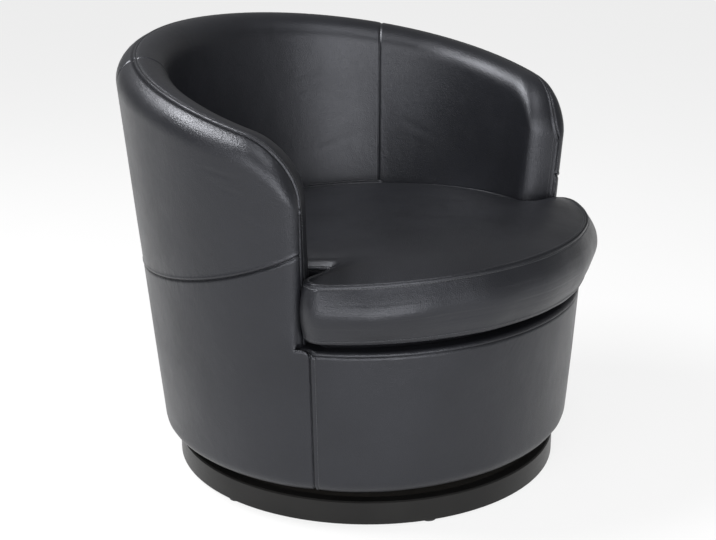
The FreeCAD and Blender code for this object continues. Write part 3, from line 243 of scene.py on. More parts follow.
BLACK_CLOTH = woven_finish("black_cloth", (0.016, 0.016, 0.017), 0.0011, 0.0003)
WEBBING = woven_finish("webbing", (0.16, 0.125, 0.085), 0.0024, 0.0006)
ZIP_TAPE = woven_finish("zip_tape", (0.012, 0.012, 0.013), 0.0008, 0.0002)
FOAM = filling_finish("foam", (0.72, 0.66, 0.50), 420.0, 0.0008)
WADDING = filling_finish("wadding", (0.74, 0.74, 0.72), 160.0, 0.0016)
FELT = filling_finish("felt", (0.20, 0.20, 0.21), 300.0, 0.0010)

THREAD = Finish("thread", (0.055, 0.057, 0.062), 0.42)
THREAD.bump((THREAD.noise(1800.0, 2.0), 0.0001))
THREAD = THREAD.material
print("soft finishes:", [m.name for m in (BLACK_CLOTH, WEBBING, ZIP_TAPE, FOAM, WADDING, FELT, THREAD)])

# %% [markdown]
# ## Paint, timber and metal
# The plinth is turned timber with a satin black paint, which keeps a faint trace of the
# brush. Plywood shows the long figure of its veneer, hardwood a tighter grain, hardboard
# short matted fibres. Zinc-plated steel is a soft grey metal with fine drawn lines. These
# finishes go straight on to the rigid parts of the measured model.

# %% Make the rigid finishes and put them on
def painted_finish(name):
    finish = Finish(name, (0.0085, 0.0083, 0.0082), 0.40)
    finish.tones(finish.noise(14.0, 4.0), (0.0070, 0.0068, 0.0066), (0.0105, 0.0102, 0.0098))
    finish.shader.inputs["Specular IOR Level"].default_value = 0.25
    finish.roughness(finish.spread(finish.noise(60.0, 4.0, stretch=(1, 1, 9)), 0.30, 0.44))
    finish.bump((finish.noise(260.0, 3.0, stretch=(1, 1, 7)), 0.00012))
    return finish.material


def timber_finish(name, dark, light, stretch, roughness=0.6):
    """Wood with its grain drawn out along the direction that is scaled least."""
    finish = Finish(name, light, roughness)
    figure = finish.noise(24.0, 6.0, 0.65, stretch)
    finish.tones(figure, dark, light)
    finish.roughness(finish.spread(figure, roughness - 0.08, roughness + 0.08))
    finish.bump((finish.noise(160.0, 4.0, 0.6, stretch), 0.00025))
    return finish.material


def metal_finish(name, colour, roughness, lines=(1, 1, 14)):
    finish = Finish(name, colour, roughness, 1.0)
    finish.roughness(finish.spread(finish.noise(130.0, 4.0, 0.6, lines),
                                   roughness - 0.07, roughness + 0.09))
    finish.bump((finish.noise(900.0, 2.0, 0.5, lines), 0.00004))
    return finish.material


def nylon_finish(name):
    finish = Finish(name, (0.020, 0.020, 0.021), 0.45)
    finish.roughness(finish.spread(finish.noise(220.0, 3.0), 0.40, 0.55))
    finish.bump((finish.noise(1200.0), 0.00005))
    return finish.material


RIGID_FINISHES = {
    "plinth_paint": painted_finish("satin_black_paint"),
    "plywood": timber_finish("plywood", (0.36, 0.23, 0.12), (0.58, 0.42, 0.25), (1, 9, 9)),
    "hardwood": timber_finish("hardwood", (0.30, 0.18, 0.09), (0.46, 0.31, 0.18), (10, 10, 1)),
    "hardboard": timber_finish("hardboard", (0.10, 0.06, 0.035), (0.17, 0.11, 0.065), (1, 1, 1), 0.75),
    "nylon": nylon_finish("black_nylon"),
    "plated_steel": metal_finish("plated_steel", (0.62, 0.62, 0.60), 0.32),
    "black_steel": metal_finish("blackened_steel", (0.11, 0.11, 0.115), 0.42),
    "zip_metal": metal_finish("zip_metal", (0.20, 0.20, 0.21), 0.30),
}
# The plywood boards in the plinth and under the tub keep their grain, but their colour is near black:
# painted shade, standing in for the shadow in the gap between tub and plinth.
SHADE_PAINTED_PLYWOOD = timber_finish("plywood_painted_shade", (0.010, 0.009, 0.008), (0.022, 0.019, 0.016), (1, 9, 9))
for part in frame["record"]["subparts"]:
    finish = RIGID_FINISHES.get(part["material_slot"])
    # These two boards show in the shaded gap, so they get the plywood with painted shade.
    if part["node"] in ("plinth_board", "base_board"):
        finish = SHADE_PAINTED_PLYWOOD
    if finish:
        node = frame["nodes"][part["node"]]
        node.data.materials.clear()
        node.data.materials.append(finish)
print(len(RIGID_FINISHES), "rigid finishes")

# %% [markdown]
# ## Light and floor
# The photograph was lit by large soft lamps in a pale room: the leather shows broad pale
# patches with soft ends and no hard spots. Big area lamps do that, with an even pale world
# around them. One lamp behind the arm on the left gives the long highlight beside the crest
# seam, and two low ones, in front and at the side, light the inside of the back. The camera
# and reflections see a white floor, which keeps the chair's own soft shadow.

# %% Light the chair
WORLD_LIGHT = 0.24
FLOOR_SIZE = 60.0
FLOOR_WHITE = 0.80

world = bpy.data.worlds.new("studio")
bpy.context.scene.world = world
world.use_nodes = True
around = world.node_tree.nodes["Background"]
around.inputs["Color"].default_value = (1, 1, 1, 1)
around.inputs["Strength"].default_value = WORLD_LIGHT


def soft_lamp(name, place, target, width, height, power):
    data = bpy.data.lights.new(name, "AREA")
    data.shape = "RECTANGLE"
    data.size = width
    data.size_y = height
    data.energy = power
    lamp = bpy.data.objects.new(name, data)
    bpy.context.scene.collection.objects.link(lamp)
    lamp.location = place
    aim = Vector(target) - Vector(place)
    lamp.rotation_euler = aim.to_track_quat("-Z", "Y").to_euler()


soft_lamp("overhead_lamp", (-0.35, -1.2, 2.8), (0, 0, 0.4), 0.9, 0.7, 22)
soft_lamp("rear_lamp", (-1.05, 1.1, 2.65), (-0.3, -0.05, 0.55), 1.3, 0.7, 95)
soft_lamp("front_lamp", (-1.75, -2.75, 0.95), (0, 0, 0.45), 2.3, 1.3, 72)
soft_lamp("side_lamp", (-3.1, -0.75, 1.1), (0, 0, 0.5), 1.8, 0.9, 34)

floor_mesh = bpy.data.meshes.new("floor")
half_floor = FLOOR_SIZE / 2
floor_mesh.from_pydata([(-half_floor, -half_floor, 0), (half_floor, -half_floor, 0),
                        (half_floor, half_floor, 0), (-half_floor, half_floor, 0)],
                       [], [(0, 1, 2, 3)])
floor = bpy.data.objects.new("floor", floor_mesh)
bpy.context.scene.collection.objects.link(floor)
pale = Finish("pale_floor", (0.86, 0.86, 0.86), 0.9)
pale.tones(pale.noise(3.0), (0.85, 0.85, 0.85), (0.87, 0.87, 0.87))
white = pale.node("ShaderNodeEmission", Strength=1.0)
floor_rays = pale.node("ShaderNodeLightPath")
floor_seen = pale.node("ShaderNodeMath", operation="MAXIMUM")
pale.join(floor_rays.outputs["Is Camera Ray"], floor_seen.inputs[0])
pale.join(floor_rays.outputs["Is Glossy Ray"], floor_seen.inputs[1])
floor_shown = pale.node("ShaderNodeMath", operation="MAXIMUM")
pale.join(floor_seen.outputs["Value"], floor_shown.inputs[0])
pale.join(floor_rays.outputs["Is Transmission Ray"], floor_shown.inputs[1])
share = pale.spread(floor_shown.outputs["Value"], 0.0, FLOOR_WHITE)
mix = pale.node("ShaderNodeMixShader")
pale.join(share, mix.inputs["Fac"])
pale.join(pale.shader.outputs["BSDF"], mix.inputs[1])
pale.join(white.outputs["Emission"], mix.inputs[2])
pale.join(mix.outputs["Shader"], pale.tree.nodes["Material Output"].inputs["Surface"])
floor.data.materials.append(pale.material)

# %% [markdown]
# ## The outline of the tub
# Seen from above, the tub is close to a circle that is a little flat in front. Its wall
# flares outwards as it rises, most at the back, and its inner face flares less. The crest
# falls in one smooth line from the back to the arms. These few formulas give the tub's
# outer face, inner face and crest at any angle, so every leather panel, pad and seam is
# made from them and fits its neighbours. Angles are in degrees from the middle of the back.

# %% Formulas of the tub
WALL_RADIUS = 343.5 * MM
WALL_FLARE = 49.7 * MM
BACK_LEAN = 11.3 * MM
FLARE_START = 100.0 * MM
CREST_HEIGHT = 696.0 * MM
CREST_FALL = 68.0 * MM
CREST_DIP = 6.0 * MM
FRONT_FLAT = 11.5 * MM
FRONT_SEAM = 118.8
SEAT_RADIUS = 283.0 * MM
INNER_FLARE = 34.0 * MM
DECK_HEIGHT = 294.9 * MM
NOSE_START = 103.2
NOSE_LENGTH = 75.0 * MM
NOSE_REACH = 13.4
NOSE_DROP = 87.0 * MM
OUTER_CORNER = 6
INNER_CORNER = 12
OUTER_PULL = 0.5
BACK_SEAM = 52.4
SEAM_INSET = 24.0 * MM
SIDE_SEAM_LOW = 335.0 * MM
SIDE_SEAM_RISE = 66.2 * MM
SIDE_SEAM_POWER = 3.5
TUB_BOTTOM = 62.2 * MM
BOTTOM_EDGE = 19.0 * MM
BOTTOM_FLAP = 28.0 * MM
NOSE_FOOT = 295.2 * MM
DECK_LINE = 288.6 * MM
STRIP_SHARE = 0.9


def outer_radius(angle, z):
    share = (z - FLARE_START) / (CREST_HEIGHT - FLARE_START)
    growth = (WALL_FLARE + BACK_LEAN * np.cos(np.radians(angle))) * share
    away = np.minimum(np.abs(180 - np.abs(angle)) / (180 - FRONT_SEAM), 1)
    return WALL_RADIUS + growth - FRONT_FLAT * (1 - away ** 2) ** 2


def inner_radius(z):
    return SEAT_RADIUS + INNER_FLARE * (z - DECK_HEIGHT) / (CREST_HEIGHT - DECK_HEIGHT)


def crest_height(angle):
    back = 1 - np.cos(np.radians(angle))
    return CREST_HEIGHT - CREST_FALL * back - CREST_DIP * back ** 2


def level_seam(angle):
    return SIDE_SEAM_LOW + SIDE_SEAM_RISE * (np.abs(angle) / NOSE_START) ** SIDE_SEAM_POWER


def spot(angle, radius, z):
    """A place in space from an angle, a radius about the swivel's axis and a height."""
    turn = np.radians(angle)
    return np.stack([radius * np.sin(turn), AXIS_Y + radius * np.cos(turn),
                     z + 0 * turn * radius], -1)


print("crest at back, side and nose:", [round(float(crest_height(a)), 3) for a in (0, 90, NOSE_START)])

# %% [markdown]
# ## An upright cut through the wall
# At each angle the wall is cut through by a station: outer face, rolled crest, inner face.
# On the arm's nose the two faces draw together and the top rounds off. The share goes from
# 0, where the nose starts, to 1 at its very front. A high power keeps both faces straight
# for long and then turns them in tightly, which gives the nose its nearly square plan. The
# outer face moves in less than the inner one, so the seam between them stays near the
# outer corner.

# %% Cut the wall at a station
LEAN = math.atan(INNER_FLARE / (CREST_HEIGHT - DECK_HEIGHT))
NOSE_CORE = 5.0


def fallen(share, power):
    """How far a corner has turned in, from 0 to 1."""
    return 1 - math.sqrt(max(0.0, 1 - share ** power))


class Station:
    """One upright cut through the wall."""

    def __init__(self, angle, share=0.0):
        self.share = share
        self.angle = angle + math.copysign(NOSE_REACH * share, angle)
        self.core_angle = self.angle - math.copysign(NOSE_CORE * share, angle)
        self.outer_tuck = fallen(share, OUTER_CORNER)
        self.inner_tuck = fallen(share, INNER_CORNER)
        self.top = float(crest_height(self.angle)) - NOSE_DROP * fallen(share, 2)
        self.level = self.top - (self.outer(self.top) - self.inner(self.top)) / 2
        for _ in range(3):
            width = self.outer(self.level) - self.inner(self.level)
            self.radius = width / 2 * math.cos(LEAN)
            self.level = self.top - self.radius
        self.middle = (self.outer(self.level) + self.inner(self.level)) / 2

    def half(self, z):
        return (outer_radius(self.angle, z) - inner_radius(z)) / 2

    def outer(self, z):
        return outer_radius(self.angle, z) - OUTER_PULL * self.outer_tuck * self.half(z)

    def inner(self, z):
        return inner_radius(z) + (2 - OUTER_PULL) * self.inner_tuck * self.half(z)

    def roll(self, turns, inset=0.0):
        """Places on the rolled crest; 0 is the outer wall and 180 the inner."""
        reach = self.radius - inset
        direction = np.radians(turns) - LEAN
        return np.stack([self.middle + reach * np.cos(direction),
                         self.level + reach * np.sin(direction)], -1)

    def seam_turn(self):
        top = crest_height(NOSE_START)
        width = float(outer_radius(NOSE_START, top) - inner_radius(top))
        return math.degrees(math.acos(1 - SEAM_INSET / (width / 2)) + LEAN)

    def core(self, z):
        """Radius and height of the middle of the wall, which the leather faces away from."""
        height = np.clip(z, TUB_BOTTOM + BOTTOM_EDGE, self.level)
        return (self.outer(height) + self.inner(height)) / 2, height


print("roll radius at the back:", round(float(Station(0.0).radius), 4))

# %% [markdown]
# ## Helpers for leather panels
# A panel is a grid of points: columns run along the wall and rows run up it. Points sit
# closer together beside a seam, where the leather turns sharply into the stitches. Each
# panel gets a relief on top of its plain shape: it tucks in at its seams, swells a little
# between them, and has slow waves and creases where the hide is pulled.

# %% Helpers for grids
SEAM_STEPS = (0.0, 0.6, 1.3, 2.3, 3.6, 5.0, 6.0, 6.8, 7.6, 9.0, 11.5)
STITCH_ROW = 7


def graded(length, step, start_seam=True, end_seam=True):
    """Shares from 0 to 1 along a length, close together beside a seam."""
    first = [v * MM for v in SEAM_STEPS] if start_seam else [0.0]
    last = [length - v * MM for v in reversed(SEAM_STEPS)] if end_seam else [length]
    gap = last[0] - first[-1]
    count = max(2, round(gap / step))
    middle = [first[-1] + gap * i / count for i in range(1, count)]
    return np.array(first + middle + last) / length


def along(path, shares):
    """Points at shares of the length of a line of (radius, height) places."""
    steps = np.hypot(*np.diff(path, axis=0).T)
    reach = np.concatenate([[0], np.cumsum(steps)])
    wanted = shares * reach[-1]
    return np.stack([np.interp(wanted, reach, path[:, i]) for i in (0, 1)], -1)


def grid_faces(columns, rows, first=0, closed=False):
    """Quads between columns of points that follow one another."""
    faces = []
    for c in range(columns if closed else columns - 1):
        for r in range(rows - 1):
            a = first + c * rows + r
            b = first + (c + 1) % columns * rows + r
            faces.append((a, b, b + 1, a + 1))
    return faces


def spaces(points):
    """Distance of each point of a grid along its row and its column, from both ends."""
    across = np.linalg.norm(np.diff(points, axis=0), axis=-1)
    up = np.linalg.norm(np.diff(points, axis=1), axis=-1)
    from_first = np.concatenate([0 * across[:1], np.cumsum(across, 0)])
    from_low = np.concatenate([0 * up[:, :1], np.cumsum(up, 1)], 1)
    return from_first, from_first[-1:] - from_first, from_low, from_low[:, -1:] - from_low


def normals_of(points, cores):
    """Unit normals of a grid, turned away from the core points."""
    normal = np.cross(np.gradient(points, axis=0), np.gradient(points, axis=1))
    size = np.linalg.norm(normal, axis=-1, keepdims=True)
    away = points - cores
    normal = np.where(size > 1e-12, normal / np.maximum(size, 1e-12), 0)
    flip = np.sign((normal * away).sum(-1, keepdims=True))
    normal = normal * np.where(flip == 0, 1, flip)
    plain = away / np.maximum(np.linalg.norm(away, axis=-1, keepdims=True), 1e-9)
    return np.where(size > 1e-12, normal, plain)


print("a 100 mm stretch gets", len(graded(0.1, 0.006)), "points")

# %% [markdown]
# ## Relief of the leather
# The relief is a sum of three things. At a seam the leather is pulled in, and where one
# panel's edge is folded and sewn on to the other, the fold stands up beside the thread and
# the panel under it dips. Slow waves, a few tenths of a millimetre high, stop the hide from
# looking like sheet metal. Creases are short soft valleys between two points in space, so
# they run on across a seam or from one panel to the next. All random draws have a fixed
# start. Each form of seam is a list of ridges: place, width and height in millimetres.

# %% Define the relief
SEAM_FORMS = {"plain": ((0.0, 2.3, -1.7),),
              "fold": ((0.0, 1.1, -1.5), (3.3, 2.3, 1.0)),
              "under": ((0.0, 2.6, -2.7),)}
DEEPEST = 3.2 * MM
TUCK_WIDTH = 3.4 * MM
SWELL = 0.9 * MM
SWELL_REACH = 26.0 * MM
WAVE_HEIGHT = 0.55 * MM
SEAM_LOOK = 14.0 * MM
STITCH_SINK = 0.9 * MM
STITCH_WIDTH = 1.2 * MM
draws = random.Random(41)
waves = []
for wavelength in (0.21, 0.17, 0.12, 0.09, 0.07, 0.055):
    heading = np.array([draws.gauss(0, 1) for _ in range(3)])
    heading *= 2 * math.pi / wavelength / np.linalg.norm(heading)
    waves.append((heading, draws.uniform(0, 6.28), wavelength / 0.21))
creases = []


def crease(start, end, width, depth):
    """Adds a soft valley from start to end, in metres."""
    creases.append((np.array(start, float), np.array(end, float), width, depth))


def valleys(points):
    """How deep the creases are at each point."""
    total = np.zeros(points.shape[:-1])
    for start, end, width, depth in creases:
        reach = 3 * width
        low = np.minimum(start, end) - reach
        high = np.maximum(start, end) + reach
        near = ((points > low) & (points < high)).all(-1)
        if not near.any():
            continue
        run = end - start
        share = np.clip(((points[near] - start) @ run) / (run @ run), 0, 1)
        gap = np.linalg.norm(points[near] - start - share[:, None] * run, axis=-1)
        taper = np.sqrt(np.clip(1.02 - np.abs(2 * share - 1) ** 2, 0, 1))
        line = gap / width
        total[near] += depth * taper * (np.exp(-line ** 2) - 0.45 * np.exp(-(line / 2.1) ** 2))
    return total


def relief(points, borders, stitch_gap=None):
    """Height above the plain shape, and how near a seam each point is.

    A border is a distance to a seam and the name of that seam's form.
    """
    seam_gap = np.minimum.reduce([gap + 0 * points[..., 0] for gap, _ in borders])
    wave = sum(size * np.sin(points @ heading + phase) for heading, phase, size in waves)
    near = np.exp(-(seam_gap / TUCK_WIDTH) ** 2)
    away = 1 - np.exp(-(seam_gap / SWELL_REACH) ** 2)
    height = SWELL * away + WAVE_HEIGHT / 2.5 * wave * away - valleys(points) * (1 - 0.6 * near)
    for gap, form in borders:
        for place, width, size in SEAM_FORMS[form]:
            height = height + size * MM * np.exp(-((gap - place * MM) / (width * MM)) ** 2)
    height = np.maximum(height, -DEEPEST)
    if stitch_gap is not None:
        row = stitch_gap - SEAM_STEPS[STITCH_ROW] * MM
        height = height - STITCH_SINK * np.exp(-(row / STITCH_WIDTH) ** 2)
    return height, np.exp(-seam_gap / SEAM_LOOK)


print(len(waves), "waves in the hide")

# %% [markdown]
# ## Turning grids into leather
# The skin helper collects one or more grids into a single mesh, welds the points that two
# grids share, gives the leather its thickness, hangs it on an empty for the body it rides
# on, and hides the measured nodes it stands for.

# %% Helper that builds a leather piece
LEATHER_THICKNESS = 2.3 * MM
HEM = 5.5 * MM


def hemmed(grid, cores, *borders):
    """Folds the borders of a grid inwards, as the seam allowance is on the real chair."""
    points, nearness = grid
    for border in borders:
        axis = 0 if border in ("first", "last") else 1
        index = 0 if border in ("first", "low") else -1
        edge = np.take(points, [index], axis)
        core = np.take(cores, [index], axis)
        inward = core - edge
        inward /= np.maximum(np.linalg.norm(inward, axis=-1, keepdims=True), 1e-9)
        fold = (edge + HEM * inward, core, 1 + 0 * np.take(nearness, [index], axis))
        whole = []
        for old, new in zip((points, cores, nearness), fold):
            whole.append(np.concatenate((new, old) if index == 0 else (old, new), axis))
        points, cores, nearness = whole
    return points, nearness


def piece(name, vertices, faces, body, nodes, material, seam=None):
    """A smooth mesh object that rides on a body and stands for measured nodes."""
    mesh = bpy.data.meshes.new(name)
    mesh.from_pydata([tuple(v) for v in vertices], [], faces)
    if seam is not None:
        mesh.attributes.new("seam", "FLOAT", "POINT").data.foreach_set("value", list(map(float, seam)))
    made = bpy.data.objects.new(name, mesh)
    bpy.context.scene.collection.objects.link(made)
    mesh.polygons.foreach_set("use_smooth", [True] * len(mesh.polygons))
    mesh.materials.append(material)
    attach(made, body)
    if nodes:
        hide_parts(*nodes)
    return made


def weld(made, distance):
    """Merges points nearer than a distance and turns all faces the same way out."""
    work = bmesh.new()
    work.from_mesh(made.data)
    bmesh.ops.remove_doubles(work, verts=work.verts, dist=distance)
    bmesh.ops.dissolve_degenerate(work, edges=work.edges, dist=1e-6)
    bmesh.ops.recalc_face_normals(work, faces=work.faces)
    work.to_mesh(made.data)
    work.free()


def thicken(made, thickness, offset=-1.0):
    """Gives a skin its thickness, below its face."""
    solid = made.modifiers.new("thickness", "SOLIDIFY")
    solid.thickness = thickness
    solid.offset = offset
    solid.use_quality_normals = True


def skin(name, grids, body, nodes, outward):
    """A leather piece from (points, seam nearness) grids; outward is a point it faces."""
    vertices = []
    seam = []
    faces = []
    for points, nearness in grids:
        columns, rows = points.shape[:2]
        faces += grid_faces(columns, rows, len(vertices))
        vertices += list(points.reshape(-1, 3))
        seam += list(nearness.reshape(-1))
    made = piece(name, vertices, faces, body, nodes, LEATHER, seam)
    weld(made, 0.06 * MM)
    facing = sum(face.area * face.normal.dot(Vector(outward) - face.center)
                 for face in made.data.polygons)
    if facing < 0:
        made.data.flip_normals()
    thicken(made, LEATHER_THICKNESS)
    return made


print("leather is", LEATHER_THICKNESS, "m thick")

# %% [markdown]
# ## Creases and puckers
# Leather that is pulled round the arm's nose gathers into a fan of fine folds below the
# crest seam, and every seam pulls small puckers into the hide on both sides. We place
# them before the panels are made, because they cross from panel to panel.

# %% Places on the leather
NOSE_FOLD_RADIUS = 0.37
ARM_FOLD_RADIUS = 0.38
PUCKER_RADIUS = 0.36
PUCKER_WIDTH = 2.8 * MM


def outer_spot(angle, z):
    return spot(angle, float(outer_radius(angle, z)), z)


def inner_spot(angle, z):
    return spot(angle, float(inner_radius(z)), z)


def outer_place(angle, z):
    """A place on the outer face, on the nose or on the roll, at an angle and a height."""
    share = max(0.0, (abs(angle) - NOSE_START) / NOSE_REACH)
    station = Station(math.copysign(min(abs(angle), NOSE_START), angle), min(share, 0.99))
    if z <= station.level:
        return spot(station.angle, float(station.outer(z)), z)
    turn = math.asin(min(1.0, (z - station.level) / station.radius))
    return spot(station.angle, station.middle + station.radius * math.cos(turn), z)


print("side of the chair at arm height:", [round(float(v), 3) for v in outer_spot(90, 0.5)])

# %% Place the folds of the arms and the back
ARM_FOLDS = ((106.0, 0.540, 0.075, 4.2, 0.8), (108.0, 0.515, 0.060, 3.6, 0.7),
             (110.0, 0.480, 0.050, 3.4, 0.6), (111.0, 0.445, 0.040, 3.2, 0.5))
BACK_FOLDS = (((15, 0.560), (33, 0.578), 6.0, 0.9), ((20, 0.545), (30, 0.552), 4.5, 0.6),
              ((-20, 0.58), (-36, 0.565), 6.0, 0.8), ((48, 0.48), (30, 0.445), 7.0, 0.7),
              ((-49, 0.50), (-38, 0.46), 6.0, 0.7), ((60, 0.50), (75, 0.47), 6.0, 0.7),
              ((-60, 0.50), (-76, 0.46), 6.0, 0.7))
for side in (-1, 1):
    for share in np.linspace(0.34, 0.95, 10):
        station = Station(side * NOSE_START, share)
        z = float(station.roll(station.seam_turn())[1]) - 3 * MM
        length = draws.uniform(24, 50) * MM
        far = side * (abs(station.angle) - math.degrees(length / NOSE_FOLD_RADIUS))
        drop = draws.uniform(0, 7) * MM
        crease(outer_place(station.angle, z), outer_place(far, z - drop),
               draws.uniform(1.7, 2.5) * MM, draws.uniform(0.8, 1.4) * MM)
    for angle, z, length, width, depth in ARM_FOLDS:
        reach = math.degrees(length / ARM_FOLD_RADIUS)
        crease(outer_place(side * angle, z), outer_place(side * (angle - reach), z + 12 * MM),
               width * MM, depth * MM)

for first, last, width, depth in BACK_FOLDS:
    crease(inner_spot(*first), inner_spot(*last), width * MM, depth * MM)
print(len(creases), "folds placed")

# %% Place the puckers along the seams
def pucker(place, length, depth):
    """Small creases that leave a seam on both sides; place gives an angle and a height."""
    angle, z = place
    reach = math.degrees(length / PUCKER_RADIUS)
    for sign in (-1, 1):
        far = (angle + sign * reach * draws.uniform(0.5, 1.0), z + draws.uniform(-6, 6) * MM)
        crease(outer_spot(angle, z), outer_spot(*far), PUCKER_WIDTH, depth)


for seam_angle in (-BACK_SEAM, BACK_SEAM):
    for z in np.arange(0.10, 0.60, 0.027):
        pucker((seam_angle, z + draws.uniform(-8, 8) * MM), 0.020, draws.uniform(0.2, 0.5) * MM)
for seam_angle in (-FRONT_SEAM, FRONT_SEAM):
    for z in np.arange(0.10, 0.28, 0.022):
        pucker((seam_angle, z + draws.uniform(-6, 6) * MM), 0.022, draws.uniform(0.3, 0.6) * MM)
for angle in np.arange(-98, 99, 5.3):
    z = float(level_seam(angle))
    for sign in (-1, 1):
        far = (angle + draws.uniform(-1.5, 1.5), z + sign * draws.uniform(12, 26) * MM)
        crease(outer_spot(angle, z), outer_spot(*far), PUCKER_WIDTH, draws.uniform(0.2, 0.55) * MM)
for angle in np.arange(-100, 101, 4.1):
    station = Station(angle)
    turn = station.seam_turn()
    low = spot(angle, *station.roll(turn - draws.uniform(16, 34)))
    high = spot(angle, *station.roll(turn + draws.uniform(14, 30)))
    middle = spot(angle, *station.roll(turn))
    depth = draws.uniform(0.2, 0.5) * MM
    crease(middle, low, PUCKER_WIDTH, depth)
    crease(middle, high, PUCKER_WIDTH, depth)
print(len(creases), "creases placed")

# %% [markdown]
# ## Outer leather above the level seam
# Three panels run up the outside from a level seam to the crest seam: one round the back
# between the two upright seams, and one along each arm, which turns round the nose and
# ends at the seam on the nose's front. Each column of points follows the wall straight up
# and then bends over the roll.

# %% Make the upper outer panels
STEP = 6.0 * MM
FINE_STEP = 2.8 * MM
NOSE_STEP = 3.5 * MM
ROLL_CLEARANCE = 7.0 * MM
ARM_RUN = 0.33
BACK_RUN = 0.71
UPPER_RISE = 0.33


def nose_shares(step):
    """Shares along the nose whose stations lie a step apart, also round its corners."""
    fine = 1 - (1 - np.linspace(0, 1, 3001)) ** 3
    half = Station(NOSE_START).half(0.4)
    outer = np.array([OUTER_PULL * half * fallen(share, OUTER_CORNER) for share in fine])
    inner = np.array([(2 - OUTER_PULL) * half * fallen(share, INNER_CORNER) for share in fine])
    run = np.hypot(np.diff(NOSE_LENGTH * fine), np.maximum(np.diff(outer), 0.6 * np.diff(inner)))
    reach = np.concatenate([[0], np.cumsum(run)])
    return np.interp(graded(reach[-1], step, start_seam=False) * reach[-1], reach, fine)


NOSE_SHARES = nose_shares(NOSE_STEP)[1:]
print(len(NOSE_SHARES), "stations round each nose")


def upper_path(station):
    low = min(float(level_seam(station.angle)), station.level - ROLL_CLEARANCE)
    foot = np.array([[station.outer(low), low]])
    return np.concatenate([foot, station.roll(np.linspace(0, station.seam_turn(), 32))])


def panel_grid(stations, path_of, shares):
    """Points of a panel and the core of the wall behind each of them."""
    points = []
    cores = []
    for station in stations:
        path = along(path_of(station), shares)
        points.append(spot(station.angle, path[:, 0], path[:, 1]))
        radius, height = station.core(path[:, 1])
        cores.append(spot(station.core_angle, radius, height))
    return np.array(points), np.array(cores)


def raised(points, cores, borders, stitch_gap=None):
    """The grid with its relief, and how near a seam each point is."""
    height, nearness = relief(points, borders, stitch_gap)
    return points + height[..., None] * normals_of(points, cores), nearness


def arm_stations(side):
    wall = BACK_SEAM + (NOSE_START - BACK_SEAM) * graded(ARM_RUN, STEP, end_seam=False)
    return [Station(side * a) for a in wall] + [Station(side * NOSE_START, s) for s in NOSE_SHARES]


back_stations = [Station(a) for a in BACK_SEAM * (2 * graded(BACK_RUN, STEP) - 1)]
for name, stations, outward in (("outer_back_upper", back_stations, (0, 2, 0.6)),
                                ("outer_right_upper", arm_stations(-1), (-2, -0.5, 0.6)),
                                ("outer_left_upper", arm_stations(1), (2, -0.5, 0.6))):
    arm = stations[-1].share > 0
    upper_shares = graded(UPPER_RISE, FINE_STEP if arm else STEP)
    points, cores = panel_grid(stations, upper_path, upper_shares)
    first, last, low, high = spaces(points)
    grid = raised(points, cores, [(first, "plain"), (last, "under" if arm else "plain"),
                                  (low, "fold"), (high, "under")])
    made = skin(name, [hemmed(grid, cores, "first", "last", "low", "high")], "tub", [name], outward)
    print(name, len(made.data.vertices), "points")

# %% [markdown]
# ## Inner leather
# The inner panels start at the crest seam, roll over the crest and run down behind the
# cushion to the deck. The two arm panels also wrap the inner half of the nose and meet
# the outer panels at the seam on its front.

# %% Make the inner panels
DECK_TUCK = 281.0 * MM
INNER_RISE = 0.44


def inner_path(station):
    wall = abs(station.angle) < NOSE_START - 4
    low = DECK_TUCK if wall else NOSE_FOOT
    roll = station.roll(np.linspace(station.seam_turn(), 180, 30))
    foot = np.array([[station.inner(low), low]])
    return np.concatenate([roll, foot])


inner_shares = graded(INNER_RISE, STEP, end_seam=False)
stitch_lines = {"crest_stitching": []}
for name, stations, outward in (("inner_back", back_stations, (0, 0, 0.6)),
                                ("inner_right", arm_stations(-1), (0, 0, 0.6)),
                                ("inner_left", arm_stations(1), (0, 0, 0.6))):
    points, cores = panel_grid(stations, inner_path, inner_shares)
    first, last, low, high = spaces(points)
    arm = stations[-1].share > 0
    grid = raised(points, cores, [(first, "plain"), (last, "fold" if arm else "plain"), (low, "fold")],
                  stitch_gap=np.minimum(low, last) if arm else low)
    normal = normals_of(grid[0], cores)
    row = [(grid[0][c, STITCH_ROW], normal[c, STITCH_ROW]) for c in range(len(stations))]
    if arm:
        row = row[:-STITCH_ROW]
        column = -1 - STITCH_ROW
        row += [(grid[0][column, r], normal[column, r]) for r in range(STITCH_ROW + 1, points.shape[1])]
    stitch_lines["crest_stitching"].append(row)
    made = skin(name, [hemmed(grid, cores, "first", "last", "low")], "tub", [name], outward)
    print(name, len(made.data.vertices), "points")

# %% [markdown]
# ## Outer leather below the level seam
# Below the level seam the leather runs down, turns under the tub's rounded bottom edge and
# is stapled there. On the arms it has two parts: the lower side of the nose, which stands
# on the deck, and the apron in front of it, which reaches the front panel's seam.

# %% Paths of the lower panels
LOWER_RISE = 0.26
NOSE_RISE = 0.10
BACK_RISE = 0.30
APRON_RUN = 0.045
FRONT_RUN = 0.75
APRON_TURN = (117.4, 118.6)


def bottom_path(station, high):
    """From the stapled edge under the tub, round the bottom edge and up to a height."""
    wide = Station(station.angle)
    base = TUB_BOTTOM
    slope = math.atan((wide.outer(base + 2 * BOTTOM_EDGE) - wide.outer(base + BOTTOM_EDGE)) / BOTTOM_EDGE)
    start = base + BOTTOM_EDGE - BOTTOM_EDGE * math.sin(slope)
    centre = wide.outer(start) - BOTTOM_EDGE * math.cos(slope)
    turns = np.linspace(-math.pi / 2, -slope, 12)
    edge = np.stack([centre + BOTTOM_EDGE * np.cos(turns),
                     base + BOTTOM_EDGE + BOTTOM_EDGE * np.sin(turns)], -1)
    return np.concatenate([[[centre - BOTTOM_FLAP, base]], edge, [[wide.outer(high), high]]])


